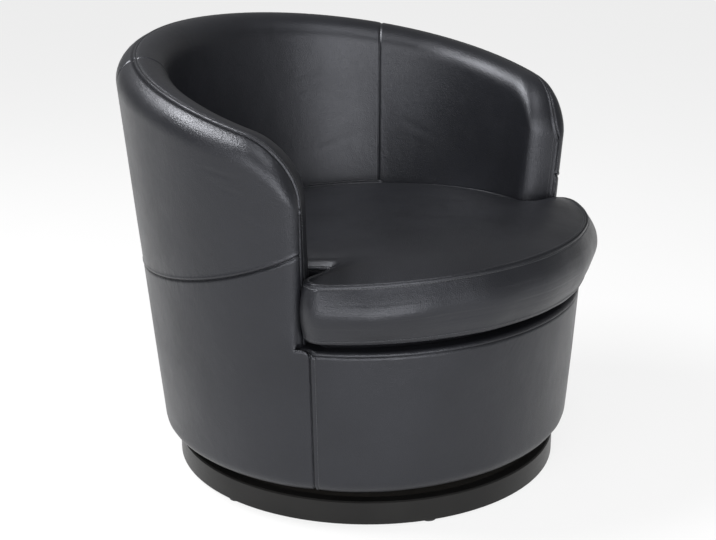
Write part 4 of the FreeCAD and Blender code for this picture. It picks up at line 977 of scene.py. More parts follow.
def foot_to_seam(station):
    """The nose and the wall above the deck's level, up to the level seam."""
    high = min(float(level_seam(station.angle)), station.level - ROLL_CLEARANCE)
    heights = np.linspace(NOSE_FOOT, high, 20)
    wide = outer_radius(station.angle, heights)
    pull = wide - station.outer(heights)
    blend = np.clip((heights - NOSE_FOOT) / 0.04, 0, 1)
    return np.stack([wide - pull * (blend if station.share <= STRIP_SHARE else 1), heights], -1)


low_shares = graded(LOWER_RISE, STEP, start_seam=False, end_seam=False)
high_shares = graded(NOSE_RISE, STEP, start_seam=False)
wall_count = len(graded(ARM_RUN, STEP, end_seam=False))
under_shares = [s for s in NOSE_SHARES if s <= STRIP_SHARE]
joined = wall_count + len(under_shares)
STRIP_ANGLE = NOSE_START + NOSE_REACH * under_shares[-1]


def apron_height(angle):
    """The side's leather covers the end of the deck strip under the nose."""
    return float(np.interp(abs(angle), APRON_TURN, [NOSE_FOOT, DECK_LINE]))


print("the deck strip begins", round(STRIP_ANGLE, 2), "degrees from the back")

# %% Make the lower side panels
for side, name in ((-1, "outer_right_lower"), (1, "outer_left_lower")):
    high_stations = arm_stations(side)
    apron = STRIP_ANGLE + (FRONT_SEAM - STRIP_ANGLE) * graded(APRON_RUN, STEP, start_seam=False)[1:]
    low_stations = ([Station(s.angle) for s in high_stations[:joined]]
                    + [Station(side * a) for a in apron])
    upper, upper_cores = panel_grid(high_stations, foot_to_seam, high_shares)
    lower, lower_cores = panel_grid(
        low_stations, lambda s: bottom_path(s, apron_height(s.angle)), low_shares)
    up_first, up_last, _, up_high = spaces(upper)
    low_first, low_last = spaces(lower)[:2]
    upper_grid = raised(upper, upper_cores, [(up_first, "plain"), (up_last, "under"), (up_high, "under")])
    lower_grid = raised(lower, lower_cores, [(low_first, "plain"), (low_last, "under")])
    lower_grid[0][:joined, -1] = upper_grid[0][:joined, 0]
    made = skin(name, [hemmed(upper_grid, upper_cores, "first", "last", "high"),
                       hemmed(lower_grid, lower_cores, "first", "last")],
                "tub", [name], (side * 2, -0.5, 0.3))
    print(name, len(made.data.vertices), "points")

# %% Make the lower back and front panels
back_shares = graded(BACK_RISE, STEP, start_seam=False)
points, cores = panel_grid(back_stations, lambda s: bottom_path(s, float(level_seam(s.angle))), back_shares)
first, last, low, high = spaces(points)
grid = raised(points, cores, [(first, "plain"), (last, "plain"), (high, "under")])
skin("outer_back_lower", [hemmed(grid, cores, "first", "last", "high")],
     "tub", ["outer_back_lower"], (0, 2, 0.3))

front_angles = FRONT_SEAM + (360 - 2 * FRONT_SEAM) * graded(FRONT_RUN, STEP)
front_stations = [Station(a) for a in front_angles]
points, cores = panel_grid(front_stations, lambda s: bottom_path(s, DECK_LINE), low_shares)
first, last, low, high = spaces(points)
grid = raised(points, cores, [(first, "fold"), (last, "fold"), (high + 3 * MM, "plain")],
              stitch_gap=np.minimum(first, last))
normal = normals_of(grid[0], cores)
stitch_lines["front_stitching"] = [
    [(grid[0][column, r], normal[column, r]) for r in range(4, points.shape[1])]
    for column in (STITCH_ROW, -1 - STITCH_ROW)]
skin("front_panel", [hemmed(grid, cores, "first", "last", "high")],
     "tub", ["front_panel"], (0, -2, 0.2))
print("lower panels made")

# %% [markdown]
# ## The deck's leather strip
# A strip of the same leather rolls over the front edge of the deck and lies flat under
# the cushion. Its narrow rolled edge is what one sees as a thin line below the cushion.

# %% Make the deck strip
STRIP_EDGE = 6.0 * MM
STRIP_WIDTH = 76.0 * MM
STRIP_HIDE = 8.0 * MM
STRIP_HIDE_TURN = (60.6, 61.8)
STRIP_RUN = 0.86


def strip_path(station):
    wide = Station(station.angle)
    foot = DECK_HEIGHT - STRIP_EDGE
    from_front = 180 - abs(station.angle) if abs(station.angle) < 180 else abs(station.angle) - 180
    outer = wide.outer(foot) - STRIP_HIDE * np.interp(from_front, STRIP_HIDE_TURN, [0, 1])
    turns = np.linspace(0, math.pi / 2, 10)
    edge = np.stack([outer - STRIP_EDGE + STRIP_EDGE * np.cos(turns), foot + STRIP_EDGE * np.sin(turns)], -1)
    return np.concatenate([edge, [[outer - STRIP_WIDTH, DECK_HEIGHT]]])


strip_angles = STRIP_ANGLE + 0.1 + (360 - 2 * STRIP_ANGLE - 0.2) * graded(STRIP_RUN, STEP, False, False)
strip_stations = [Station(a) for a in strip_angles]
strip_shares = np.concatenate([np.linspace(0, 0.115, 9), np.linspace(0.115, 1, 12)[1:]])
points, cores = panel_grid(strip_stations, strip_path, strip_shares)
grid = (points, np.exp(-spaces(points)[2] / SEAM_LOOK))
made = skin("deck_strip", [hemmed(grid, cores, "low")], "tub", ["deck_strip"], (0, -0.3, 2))
print("deck strip", len(made.data.vertices), "points")

# %% [markdown]
# ## The cushion's outline
# The seat cushion is cut to the tub: a round rear that sits between the arms, two ears that
# spread in front of the arm noses, and a flat curve across the front. We draw one half of
# that outline with arcs, mirror it, and soften its corners a little, because a stuffed seam
# can't turn sharply. The outline is kept about the swivel's axis.

# %% Draw the cushion's outline
REAR_RADIUS = 280.0 * MM
FRONT_RADIUS = 397.0 * MM
FRONT_CENTRE = 45.0 * MM
EAR_LINE = 151.0 * MM
EAR_CORNER = 28.0 * MM
COLUMNS = 340

corner_y = EAR_LINE + EAR_CORNER
join = math.acos(-EAR_LINE / REAR_RADIUS)
corner_x = math.sqrt((FRONT_RADIUS - EAR_CORNER) ** 2 - (corner_y + FRONT_CENTRE) ** 2)
sweep = math.atan2(corner_x, corner_y + FRONT_CENTRE)


def arc(centre, radius, first, last, count=300):
    turns = np.linspace(first, last, count)
    return np.stack([centre[0] + radius * np.sin(turns), centre[1] + radius * np.cos(turns)], -1)


rear = arc((0, 0), REAR_RADIUS, 0, join)
ear = arc((corner_x, -corner_y), EAR_CORNER, 0, math.pi - sweep)
front = arc((0, FRONT_CENTRE), FRONT_RADIUS, math.pi - sweep, math.pi)
marks = np.cumsum([join * REAR_RADIUS, corner_x - rear[-1, 0], EAR_CORNER * (math.pi - sweep),
                   sweep * FRONT_RADIUS])
half_outline = np.concatenate([rear, ear, front[1:]])
outline = np.concatenate([half_outline, half_outline[-2:0:-1] * [-1, 1]])
whole = np.concatenate([outline, outline[:1]])
reach = np.concatenate([[0], np.cumsum(np.hypot(*np.diff(whole, axis=0).T))])
girth = reach[-1]
places = girth * np.arange(COLUMNS) / COLUMNS
outline = np.stack([np.interp(places, reach, whole[:, i]) for i in (0, 1)], -1)
for _ in range(4):
    outline = (np.roll(outline, 1, 0) + 2 * outline + np.roll(outline, -1, 0)) / 4
tangent = np.roll(outline, -1, 0) - np.roll(outline, 1, 0)
tangent /= np.linalg.norm(tangent, axis=-1, keepdims=True)
outward = np.stack([-tangent[:, 1], tangent[:, 0]], -1)
half_places = np.minimum(places, girth - places)
print("cushion is", round(girth, 3), "m round")

# %% [markdown]
# ## The cushion's plain form
# From the middle of the underside the rows of points run outwards, round the drawn-in foot
# to the lower seam, up the swelling side to the upper seam, and over the crown to the
# middle of the top. The crown's height follows the distance to the outline. A soft
# distance, which adds up the nearness of the whole outline, has no ridges.

# %% Lay out the cushion's rows
CUSHION_BOTTOM = 295.4 * MM
LOWER_SEAM = 311.0 * MM
UPPER_SEAM = 408.0 * MM
REAR_FALL = 28.0 * MM
CROWN_RISE = 24.0 * MM
CROWN_DEPTH = 165.0 * MM
CROWN_POWER = 3.6
FOOT_TUCK = 30.0 * MM
FRONT_BULGE = 18.0 * MM
CORNER_BULGE = 24.0 * MM
REAR_FLARE = 6.5 * MM
REAR_BULGE = 1.0 * MM
EAR_BULGE = 3.0 * MM
NOTCH_LIFT = 5.0 * MM
NOTCH_REACH = 50.0 * MM
SOFT_POWER = 8
SOFT_SHARE = 0.98
TOP_OFFSETS = SEAM_STEPS + (15.0, 20.0)
CUSHION_SIDE = 97.0 * MM
CORNER_BULGES = (7.0 * MM, 15.0 * MM)
FOOT_SHARES = (0.93, 0.80, 0.66, 0.52, 0.38, 0.26, 0.14, 0.05)
HEART = np.array([0.0, -150.0 * MM])
HEART_RADIUS = 110.0 * MM

turn_marks = np.radians([0, 115, 121, 130, 180])
heart_turn = np.interp(half_places, [0, *marks], turn_marks)
heart_side = np.where(places <= girth / 2, 1, -1)
heart = HEART + HEART_RADIUS * np.stack([heart_side * np.sin(heart_turn), np.cos(heart_turn)], -1)
corner_middle = (marks[1] + marks[2]) / 2
bulge = np.interp(
    half_places,
    [0, marks[0], marks[0] + 0.02, marks[1],
     corner_middle, marks[2], marks[2] + 0.07, marks[2] + 0.18, marks[3]],
    [REAR_BULGE, REAR_BULGE, EAR_BULGE, EAR_BULGE,
     *CORNER_BULGES, CORNER_BULGE, FRONT_BULGE, FRONT_BULGE])
flare = REAR_FLARE * np.interp(half_places, [0, marks[0], marks[0] + 0.03], [1, 1, 0])
top_outline = outline + flare[:, None] * outward
notches = np.array([[sign * rear[-1, 0], rear[-1, 1]] for sign in (-1, 1)])
print("the side swells", round(float(bulge.max()) * 1000, 1), "mm at most")

# %% Shape the crown
def upper_level(y):
    """Height of the upper seam, which falls to the rear."""
    length = REAR_RADIUS + FRONT_RADIUS - FRONT_CENTRE
    return UPPER_SEAM - REAR_FALL * (y + length - REAR_RADIUS) / length


def soft_depth(places):
    """Smooth distance from places inside the outline to the outline."""
    gaps = np.linalg.norm(places[:, None] - outline[None], axis=-1)
    total = (girth / COLUMNS * np.maximum(gaps, 1e-4) ** -SOFT_POWER).sum(-1)
    return (SOFT_SHARE / total) ** (1 / (SOFT_POWER - 1))


def crown(flat, depth):
    """Rise over the seam; beside the arm noses the stuffed corner stands up sooner."""
    rise = CROWN_RISE * (1 - (1 - np.clip(depth / CROWN_DEPTH, 0, 1)) ** CROWN_POWER)
    gap = np.linalg.norm(flat[:, None] - notches[None], axis=-1).min(-1)
    lift = NOTCH_LIFT * np.exp(-(gap / NOTCH_REACH) ** 2) * (1 - np.exp(-(depth / (9 * MM)) ** 2))
    return rise + lift


print("the upper seam is", round(upper_level(FRONT_CENTRE - FRONT_RADIUS), 3), "m up in front")

# %% Stack the rows
rows = []
row_marks = {}


def add_row(flat, z):
    rows.append(np.concatenate([flat, (z + 0 * flat[:, 0])[:, None]], -1))


foot_line = outline - FOOT_TUCK * outward
for share in np.linspace(0, 1, 13)[1:]:
    add_row(HEART + share * (foot_line - HEART), CUSHION_BOTTOM)
for share in FOOT_SHARES:
    add_row(outline - FOOT_TUCK * share * outward,
            LOWER_SEAM - (LOWER_SEAM - CUSHION_BOTTOM) * share ** 1.4)
row_marks["lower"] = len(rows)
side_shares = np.unique(np.concatenate([graded(CUSHION_SIDE, STEP), np.linspace(0.26, 0.72, 19)]))
for share in side_shares:
    top = upper_level(outline[:, 1])
    add_row(outline + (bulge * math.sin(math.pi * share) + flare * share ** 4)[:, None] * outward,
            LOWER_SEAM + share * (top - LOWER_SEAM))
row_marks["upper"] = len(rows) - 1
for offset in TOP_OFFSETS[1:]:
    flat = top_outline - offset * MM * outward
    add_row(flat, upper_level(flat[:, 1]) + crown(flat, offset * MM))
inner_line = rows[-1][:, :2]
for share in np.linspace(0, 1, 19)[1:]:
    flat = inner_line + share * (heart - inner_line)
    add_row(flat, upper_level(flat[:, 1]) + crown(flat, soft_depth(flat)))
for share in np.linspace(1, 0, 13)[1:-1]:
    flat = HEART + share * (heart - HEART)
    add_row(flat, upper_level(flat[:, 1]) + crown(flat, soft_depth(flat)))
body = np.array(rows).transpose(1, 0, 2)
print("cushion grid:", body.shape[0], "columns and", body.shape[1], "rows")

# %% [markdown]
# ## Blowing up the cushion
# The plain form is filled as the real one is: a coarse copy becomes cloth, its seams and
# its underside are held, and pressure from inside pushes the leather out between them. The
# cloth is cut a little too large, so that it gathers in small folds along the seams. The
# moves are limited, and then carried over to the fine rows, which keeps the seams sharp.

# %% Let pressure fill the cushion
PRESSURE = 4.0
SLACK = -0.008
MOST_MOVE = 7.0 * MM
FRAMES = 20
SMOOTHING = 8


def capped_grid(grid):
    """Points and faces of a closed skin: a grid of columns and its two middles."""
    columns, count = grid.shape[:2]
    points = grid.reshape(-1, 3)
    faces = grid_faces(columns, count, closed=True)
    low = len(points)
    middles = np.array([grid[:, 0].mean(0), grid[:, -1].mean(0)])
    for c in range(columns):
        follow = (c + 1) % columns
        faces.append((low, follow * count, c * count))
        faces.append((low + 1, c * count + count - 1, follow * count + count - 1))
    return np.concatenate([points, middles]), faces


def sim_rows():
    """Rows for the coarse copy: all the seams, and others at least 6 mm apart."""
    kept = [0]
    for r in range(1, body.shape[1]):
        gap = np.linalg.norm(body[:, r] - body[:, kept[-1]], axis=-1).mean()
        if gap > 6 * MM or r in row_marks.values():
            kept.append(r)
    return kept


def inflate(grid, held):
    """Where pressure moves the points of a closed grid; held rows stay."""
    points, faces = capped_grid(grid)
    mesh = bpy.data.meshes.new("cushion_cloth")
    mesh.from_pydata([tuple(p) for p in points], [], faces)
    cloth_piece = bpy.data.objects.new("cushion_cloth", mesh)
    bpy.context.scene.collection.objects.link(cloth_piece)
    count = grid.shape[1]
    group = cloth_piece.vertex_groups.new(name="held")
    held_points = [c * count + r for c in range(grid.shape[0]) for r in held]
    group.add(held_points + [len(points) - 2], 1.0, "REPLACE")
    cloth = cloth_piece.modifiers.new("cloth", "CLOTH")
    cloth.settings.vertex_group_mass = "held"
    cloth.settings.quality = 6
    cloth.settings.use_pressure = True
    cloth.settings.uniform_pressure_force = PRESSURE
    cloth.settings.shrink_min = SLACK
    cloth.settings.tension_stiffness = 12
    cloth.settings.compression_stiffness = 12
    cloth.settings.bending_stiffness = 1.2
    cloth.settings.effector_weights.gravity = 0
    cloth.collision_settings.use_collision = False
    cloth.point_cache.frame_end = FRAMES
    for frame_number in range(1, FRAMES + 1):
        bpy.context.scene.frame_set(frame_number)
    ready = cloth_piece.evaluated_get(bpy.context.evaluated_depsgraph_get())
    moved = np.array([v.co[:] for v in ready.data.vertices])[:-2].reshape(grid.shape)
    bpy.context.scene.frame_set(1)
    bpy.data.objects.remove(cloth_piece)
    return moved - grid


print("the cushion is filled over", FRAMES, "frames")

# %% Fill it and carry the moves over
kept_rows = sim_rows()
kept_columns = list(range(0, COLUMNS, 2))
coarse = body[np.ix_(kept_columns, kept_rows)]
seam_rows = [kept_rows.index(r) for r in row_marks.values()]
held = list(range(seam_rows[0] + 1)) + [seam_rows[1]]
move = inflate(coarse, held)
for _ in range(SMOOTHING):
    move = (np.roll(move, 1, 0) + 2 * move + np.roll(move, -1, 0)) / 4
    move[:, 1:-1] = (move[:, :-2] + 2 * move[:, 1:-1] + move[:, 2:]) / 4
    move[:, held] = 0
length = np.linalg.norm(move, axis=-1, keepdims=True)
print("cloth moved", round(float(length.max()) * 1000, 1), "mm at most")
move *= MOST_MOVE * np.tanh(length / MOST_MOVE) / np.maximum(length, 1e-9)
side_room = np.interp(half_places[::2], [0, marks[1], marks[2]], [0.15, 0.15, 1.0])
move[:, seam_rows[0]:seam_rows[1] + 1] *= side_room[:, None, None]
wide_move = np.concatenate([move, move[:1]])
by_rows = np.stack([[np.interp(np.arange(body.shape[1]), kept_rows, line[:, i]) for i in range(3)]
                    for line in wide_move]).transpose(0, 2, 1)
steps = np.arange(COLUMNS) / 2
low_step = np.floor(steps).astype(int)
part = (steps - low_step)[:, None, None]
fine_move = (1 - part) * by_rows[low_step] + part * by_rows[low_step + 1]
for _ in range(SMOOTHING):
    fine_move[:, 1:-1] = (fine_move[:, :-2] + 2 * fine_move[:, 1:-1] + fine_move[:, 2:]) / 4
    fine_move[:, list(row_marks.values())] = 0
blown = body + fine_move
print("rows in the coarse copy:", len(kept_rows))

# %% [markdown]
# ## Seams, puckers and the zip's slot
# The upper seam is a narrow valley with a row of stitches on both sides. Thread pulls small
# puckers into the leather on either side, longer ones where the ear turns its corner. The
# lower seam is faint. At the rear the boxing is open between two folds, where the zip is.

# %% Find the way the seams pull
ZIP_MIDDLE = 345.5 * MM
ZIP_HALF = 11.3 * MM
ZIP_ANGLE = 62.0
ZIP_DEPTH = 2.6 * MM
CUSHION_TUCK = 4.6 * MM
CUSHION_TUCK_WIDTH = 1.7 * MM

world_grid = blown + np.array([0, AXIS_Y, 0])
cores = world_grid * 0 + np.array([0, AXIS_Y, 0])
cores[..., :2] += 0.7 * (body[..., :2] - HEART) + HEART
cores[..., 2] = 0.5 * (CUSHION_BOTTOM + UPPER_SEAM) - 12 * MM
closed_grid = np.concatenate([world_grid[-1:], world_grid, world_grid[:1]])
closed_cores = np.concatenate([cores[-1:], cores, cores[:1]])
normals = normals_of(closed_grid, closed_cores)[1:-1]
seam_normal = normals[:, row_marks["upper"]]
for _ in range(8):
    seam_normal = (np.roll(seam_normal, 1, 0) + 2 * seam_normal + np.roll(seam_normal, -1, 0)) / 4
steps_up = np.linalg.norm(np.diff(world_grid, axis=1), axis=-1)
height_up = np.concatenate([0 * steps_up[:, :1], np.cumsum(steps_up, 1)], 1)
upper_gap = np.abs(height_up - height_up[:, row_marks["upper"]:row_marks["upper"] + 1])
lower_gap = np.abs(height_up - height_up[:, row_marks["lower"]:row_marks["lower"] + 1])
at_seam = np.exp(-(upper_gap / (8 * MM)) ** 2)[..., None]
pull_way = (1 - at_seam) * normals + at_seam * seam_normal[:, None]
pull_way /= np.linalg.norm(pull_way, axis=-1, keepdims=True)
print("seams pull along", pull_way.shape[:2], "directions")

# %% Pucker the cushion's upper seam
creases.clear()
seam_row = world_grid[:, row_marks["upper"]]
for column in np.arange(0, COLUMNS, 3.1):
    c = int(column + draws.uniform(-0.6, 0.6)) % COLUMNS
    at_ear = marks[0] - 0.03 < half_places[c] < marks[2] + 0.03
    for sign in (-1, 1):
        length = draws.uniform(9, 20) * MM * (1.7 if at_ear else 1)
        r = row_marks["upper"] + sign * 3
        while abs(height_up[c, r] - height_up[c, row_marks["upper"]]) < length:
            r += sign
        across = (c + draws.choice((-1, 0, 0, 1))) % COLUMNS
        crease(seam_row[c], world_grid[across, r], draws.uniform(2.4, 3.6) * MM,
               draws.uniform(0.15, 0.40) * MM * (2.2 if at_ear else 1))
print(len(creases), "puckers")

# %% Pull in the seams and open the zip's slot
pull = (CUSHION_TUCK * np.exp(-(upper_gap / CUSHION_TUCK_WIDTH) ** 2)
        + 1.2 * MM * np.exp(-(lower_gap / (2.2 * MM)) ** 2))
row_gap = upper_gap - SEAM_STEPS[STITCH_ROW] * MM
pull += STITCH_SINK * np.exp(-(row_gap / STITCH_WIDTH) ** 2)
pull += valleys(world_grid) * (1 - np.exp(-(upper_gap / (3.5 * MM)) ** 2))
turn = np.abs(np.degrees(np.arctan2(body[..., 0], body[..., 1])))
in_zip = (1 / (1 + np.exp((np.abs(world_grid[..., 2] - ZIP_MIDDLE) - ZIP_HALF) / (0.35 * MM)))
          / (1 + np.exp((turn - ZIP_ANGLE) / 0.12)))
in_side = np.zeros(world_grid.shape[:2])
in_side[:, row_marks["lower"]:row_marks["upper"]] = 1
pull += ZIP_DEPTH * np.minimum(in_zip, 1) * in_side
wave = sum(size * np.sin(world_grid @ heading + phase) for heading, phase, size in waves)
lift = WAVE_HEIGHT / 2 * wave * (1 - np.exp(-(upper_gap / (30 * MM)) ** 2))
lift[:, :row_marks["lower"]] = 0
sewn = world_grid + (lift - pull)[..., None] * pull_way
nearness = np.exp(-np.minimum(upper_gap, lower_gap + 4 * MM) / SEAM_LOOK)
print("deepest pull", round(float(pull.max()) * 1000, 1), "mm")

# %% Make the cushion's cover
points, faces = capped_grid(sewn)
cushion = piece("seat_cushion", points, faces, "seat_cushion",
                ["cushion_top", "cushion_front_boxing", "cushion_rear_boxing", "cushion_underside",
                 "cushion_core"], LEATHER, [*nearness.reshape(-1), 0.0, 0.0])
weld(cushion, 0.01 * MM)
stitch_lines["cushion_stitching"] = []
for r in (row_marks["upper"] - STITCH_ROW, row_marks["upper"] + STITCH_ROW,
          row_marks["lower"] + STITCH_ROW):
    line = [(sewn[c, r], normals[c, r]) for c in range(COLUMNS)]
    stitch_lines["cushion_stitching"].append(line + line[:1])
print("cushion has", len(cushion.data.vertices), "points")

# %% [markdown]
# ## Topstitching
# Rows of stitches run beside the crest seam, down the noses, beside the front panel's seams,
# along both sides of the cushion's upper seam and above its lower one. Each stitch is a
# short spindle of thread that lies in the groove it has pulled into the leather. All
# stitches of a row set are one mesh, made by copying a small spindle along the row.

# %% Sew the rows
STITCH_PITCH = 4.3 * MM
STITCH_LENGTH = 3.3 * MM
THREAD_RADIUS = 0.45 * MM
STITCH_LIFT = 0.15 * MM
SPINDLE = [(-0.5, 0.25), (-0.28, 1.0), (0.28, 1.0), (0.5, 0.25)]
SIDES = 6


def spindle(start, end, up, radius):
    """Points of a short six-sided spindle from start to end."""
    run = end - start
    side = np.cross(run, up)
    side /= np.linalg.norm(side)
    up = np.cross(side, run)
    up /= np.linalg.norm(up)
    turns = 2 * math.pi * np.arange(SIDES) / SIDES
    round_way = [math.cos(t) * side + 0.8 * math.sin(t) * up for t in turns]
    return [(start + end) / 2 + share * run + size * radius * way
            for share, size in SPINDLE for way in round_way]


def spindle_faces(count):
    """Faces of a number of spindles that follow one another."""
    faces = []
    for first in range(0, count * SIDES * len(SPINDLE), SIDES * len(SPINDLE)):
        for ring in range(len(SPINDLE) - 1):
            for k in range(SIDES):
                a = first + ring * SIDES + k
                b = first + ring * SIDES + (k + 1) % SIDES
                faces.append((a, b, b + SIDES, a + SIDES))
        last = first + (len(SPINDLE) - 1) * SIDES
        faces += [tuple(range(first, first + SIDES)), tuple(range(last, last + SIDES))]
    return faces


def stitch_row(line):
    """Points of the stitches along a line of (place, normal) pairs."""
    places = np.array([p for p, _ in line])
    normal = np.array([n for _, n in line])
    reach = np.concatenate([[0], np.cumsum(np.linalg.norm(np.diff(places, axis=0), axis=-1))])
    points = []
    for start in np.arange(STITCH_PITCH / 2, reach[-1] - STITCH_PITCH / 2, STITCH_PITCH):
        up = np.array([np.interp(start, reach, normal[:, i]) for i in range(3)])
        ends = [np.array([np.interp(start + far, reach, places[:, i]) for i in range(3)]) + STITCH_LIFT * up
                for far in (-STITCH_LENGTH / 2, STITCH_LENGTH / 2)]
        points += spindle(*ends, up, THREAD_RADIUS)
    return points


for name, lines in stitch_lines.items():
    points = [point for line in lines for point in stitch_row(line)]
    count = len(points) // (SIDES * len(SPINDLE))
    body_name = "seat_cushion" if name == "cushion_stitching" else "tub"
    made = piece(name, points, spindle_faces(count), body_name, [], THREAD)
    weld(made, 1e-7)
    print(name, count, "stitches")

# %% [markdown]
# ## The zip
# The cushion's cover opens along a zip in the rear of its boxing. Two woven tapes lie in the
# slot that we left there, and small teeth stand on their edges, turn about from the upper
# and the lower tape. Its slider and pull tab are rigid, so they stay as they were measured.

# %% Close the cushion with its zip
TAPE_FACE = 278.1 * MM
TAPE_THICKNESS = 1.2 * MM
TAPE_WIDTH = 10.4 * MM
TAPE_GAP = 0.3 * MM
TEETH_PITCH = 2.0 * MM
TEETH_LENGTH = 3.1 * MM
TEETH_RADIUS = 0.78 * MM
ZIP_END = ZIP_ANGLE - 0.3


def ribbon(section, turns):
    """A closed band: the section's (radius, height) places, swept round the cushion."""
    rings = np.array([spot(turn, section[:, 0], section[:, 1]) for turn in turns])
    return capped_grid(rings.transpose(1, 0, 2))


points = []
faces = []
for sign in (-1, 1):
    near = ZIP_MIDDLE + sign * TAPE_GAP
    far = near + sign * TAPE_WIDTH
    edge = ZIP_MIDDLE + sign * 1.3 * MM
    face = TAPE_FACE - 0.15 * MM
    section = np.array([(face, near), (face, edge),
                        (face - 0.2 * MM, (edge + far) / 2), (face - 0.3 * MM, far),
                        (face - TAPE_THICKNESS, far), (face - TAPE_THICKNESS, near)])
    band, band_faces = ribbon(section, np.linspace(-ZIP_END, ZIP_END, 125))
    faces += [tuple(v + len(points) for v in face_corners) for face_corners in band_faces]
    points += list(band)
tape_count = len(points)
tooth_turns = np.arange(-ZIP_END, ZIP_END, math.degrees(TEETH_PITCH / TAPE_FACE))
teeth = []
for index, turn in enumerate(tooth_turns[:-1]):
    for sign in (-1, 1):
        place = turn + (0 if sign < 0 else math.degrees(TEETH_PITCH / 2 / TAPE_FACE))
        middle = ZIP_MIDDLE + sign * 0.75 * MM
        ends = [spot(place, TAPE_FACE + 0.9 * MM, middle + end * TEETH_LENGTH / 2) for end in (-1, 1)]
        up = spot(place, 1.0, 0.0) - spot(place, 0.0, 0.0)
        teeth += spindle(*ends, up, TEETH_RADIUS)
tooth_count = len(teeth) // (SIDES * len(SPINDLE))
faces += [tuple(v + tape_count for v in corners) for corners in spindle_faces(tooth_count)]
zip_piece = piece("zip_tape_and_teeth", points + teeth, faces, "seat_cushion", ["zip"], ZIP_TAPE)
weld(zip_piece, 1e-7)
print("zip has", tooth_count, "teeth")

# %% [markdown]
# ## Padding under the leather
# Nobody sees the padding until the leather is lifted, but the leather's form comes from it.
# Wadding lies outside the wall and round the front, foam inside it, a foam roll sits on the
# crest, and a block of foam fills each nose. Each is a closed section, a little smaller than
# the leather, swept along the wall, with rounded ends and slightly uneven faces.

# %% Helpers for pads
PAD_INSET = 5.2 * MM
PAD_CORNER = 4.0 * MM
PAD_POINTS = 52
PAD_UNEVEN = 0.35 * MM
WALL_FOOT = 84.0 * MM
RAIL_DROP = 8.6 * MM
FRAME_INSIDE = 51.0 * MM
PADDING_FAR = 14.7 * MM
SEAT_RING_TOP = 280.4 * MM
END_SCALES = (0.55, 0.82, 0.95)
NOSE_FOAM_SHARES = (0.03, 0.045, 0.08, *np.linspace(0.12, 0.84, 13), 0.88, 0.915, 0.935)


def rounded(corners, size):
    """A closed line of (radius, height) places whose corners are rounded."""
    corners = np.array(corners)
    line = []
    for index, corner in enumerate(corners):
        both = (corners[index - 1] - corner, corners[(index + 1) % len(corners)] - corner)
        reach = [min(size, 0.45 * np.linalg.norm(v)) * v / np.linalg.norm(v) for v in both]
        line += [corner + (1 - t) ** 2 * reach[0] + t ** 2 * reach[1] for t in (0.0, 0.33, 0.67, 1.0)]
    return np.array(line)


def pad_rings(sections):
    """Rings of points through sections of (angle, closed line), drawn in at both ends."""
    rings = []
    for angle, line in sections:
        spots = along(np.concatenate([line, line[:1]]), np.arange(PAD_POINTS) / PAD_POINTS)
        ring = spot(angle, spots[:, 0], spots[:, 1])
        middle = ring.mean(0)
        uneven = sum(size * np.sin(1.7 * (ring @ heading) + phase) for heading, phase, size in waves)
        inward = (middle - ring) / np.linalg.norm(middle - ring, axis=-1, keepdims=True)
        rings.append(ring + (PAD_UNEVEN * (1 + 0.4 * uneven))[:, None] * inward)
    for index, scale in enumerate(END_SCALES):
        for end in (index, -1 - index):
            middle = rings[end].mean(0)
            rings[end] = middle + scale * (rings[end] - middle)
    return np.array(rings)


def pad(name, slot, material, nodes, *pads, fill=0.8):
    """One piece from lists of sections; each list is one closed pad."""
    points = []
    faces = []
    for sections in pads:
        ring_points, ring_faces = capped_grid(pad_rings(sections).transpose(1, 0, 2))
        faces += [tuple(v + len(points) for v in corners) for corners in ring_faces]
        points += list(ring_points)
    made = piece(name, points, faces, "tub", nodes, material)
    weld(made, 1e-6)
    print(name, len(points), "points")


def slab_line(station, low, high, near, far):
    """A slab of the wall between two depths below the outer face."""
    foot = float(station.outer(low))
    head = float(station.outer(high))
    return rounded([(foot - near, low), (head - near, high), (head - far, high), (foot - far, low)],
                   PAD_CORNER)


def foam_line(station, high):
    low = SEAT_RING_TOP + 1.2 * MM
    return rounded([(float(station.inner(low)) + PAD_INSET, low),
                    (float(station.inner(high)) + PAD_INSET, high),
                    (float(station.outer(high)) - FRAME_INSIDE, high),
                    (float(station.outer(low)) - FRAME_INSIDE, low)], PAD_CORNER)


def filled_line(station, low):
    """The whole wall from a height up and over the crest."""
    roll = station.roll(np.linspace(0, 180, 25), PAD_INSET)
    foot = [[station.inner(low) + PAD_INSET, low], [station.outer(low) - PAD_INSET, low]]
    return np.concatenate([roll, foot])


def pad_angles(first, last, step=2.6):
    """Angles from first to last, with three close together at each end."""
    ends = (0.0, 0.25, 0.8)
    count = round((last - first - 1.6) / step)
    middle = list(np.linspace(first + 0.8, last - 0.8, count + 1)[1:-1])
    return [first + v for v in ends] + middle + [last - v for v in reversed(ends)]


print("the padding's corners are rounded by", PAD_CORNER, "m")

# %% Lay the pads into the wall
wall_stations = [Station(a) for a in pad_angles(-NOSE_START + 0.2, NOSE_START - 0.2)]
lining = [Station(a) for a in pad_angles(NOSE_START + 0.4, 360 - NOSE_START - 0.4)]
pad("wall_wadding", "wadding", WADDING, ["wall_padding"],
    [(s.angle, slab_line(s, WALL_FOOT, s.level - RAIL_DROP, PAD_INSET, PADDING_FAR)) for s in wall_stations])
pad("front_wadding", "wadding", WADDING, ["front_padding"],
    [(s.angle, slab_line(s, WALL_FOOT, DECK_LINE - 1.2 * MM, PAD_INSET, PADDING_FAR)) for s in lining])
pad("wall_foam", "foam", FOAM, ["inside_foam"],
    [(s.angle, foam_line(s, s.level - RAIL_DROP)) for s in wall_stations])
pad("crest_roll_foam", "foam", FOAM, ["crest_foam"],
    [(s.angle, filled_line(s, s.level - RAIL_DROP + 1.2 * MM)) for s in wall_stations])
nose_sections = []
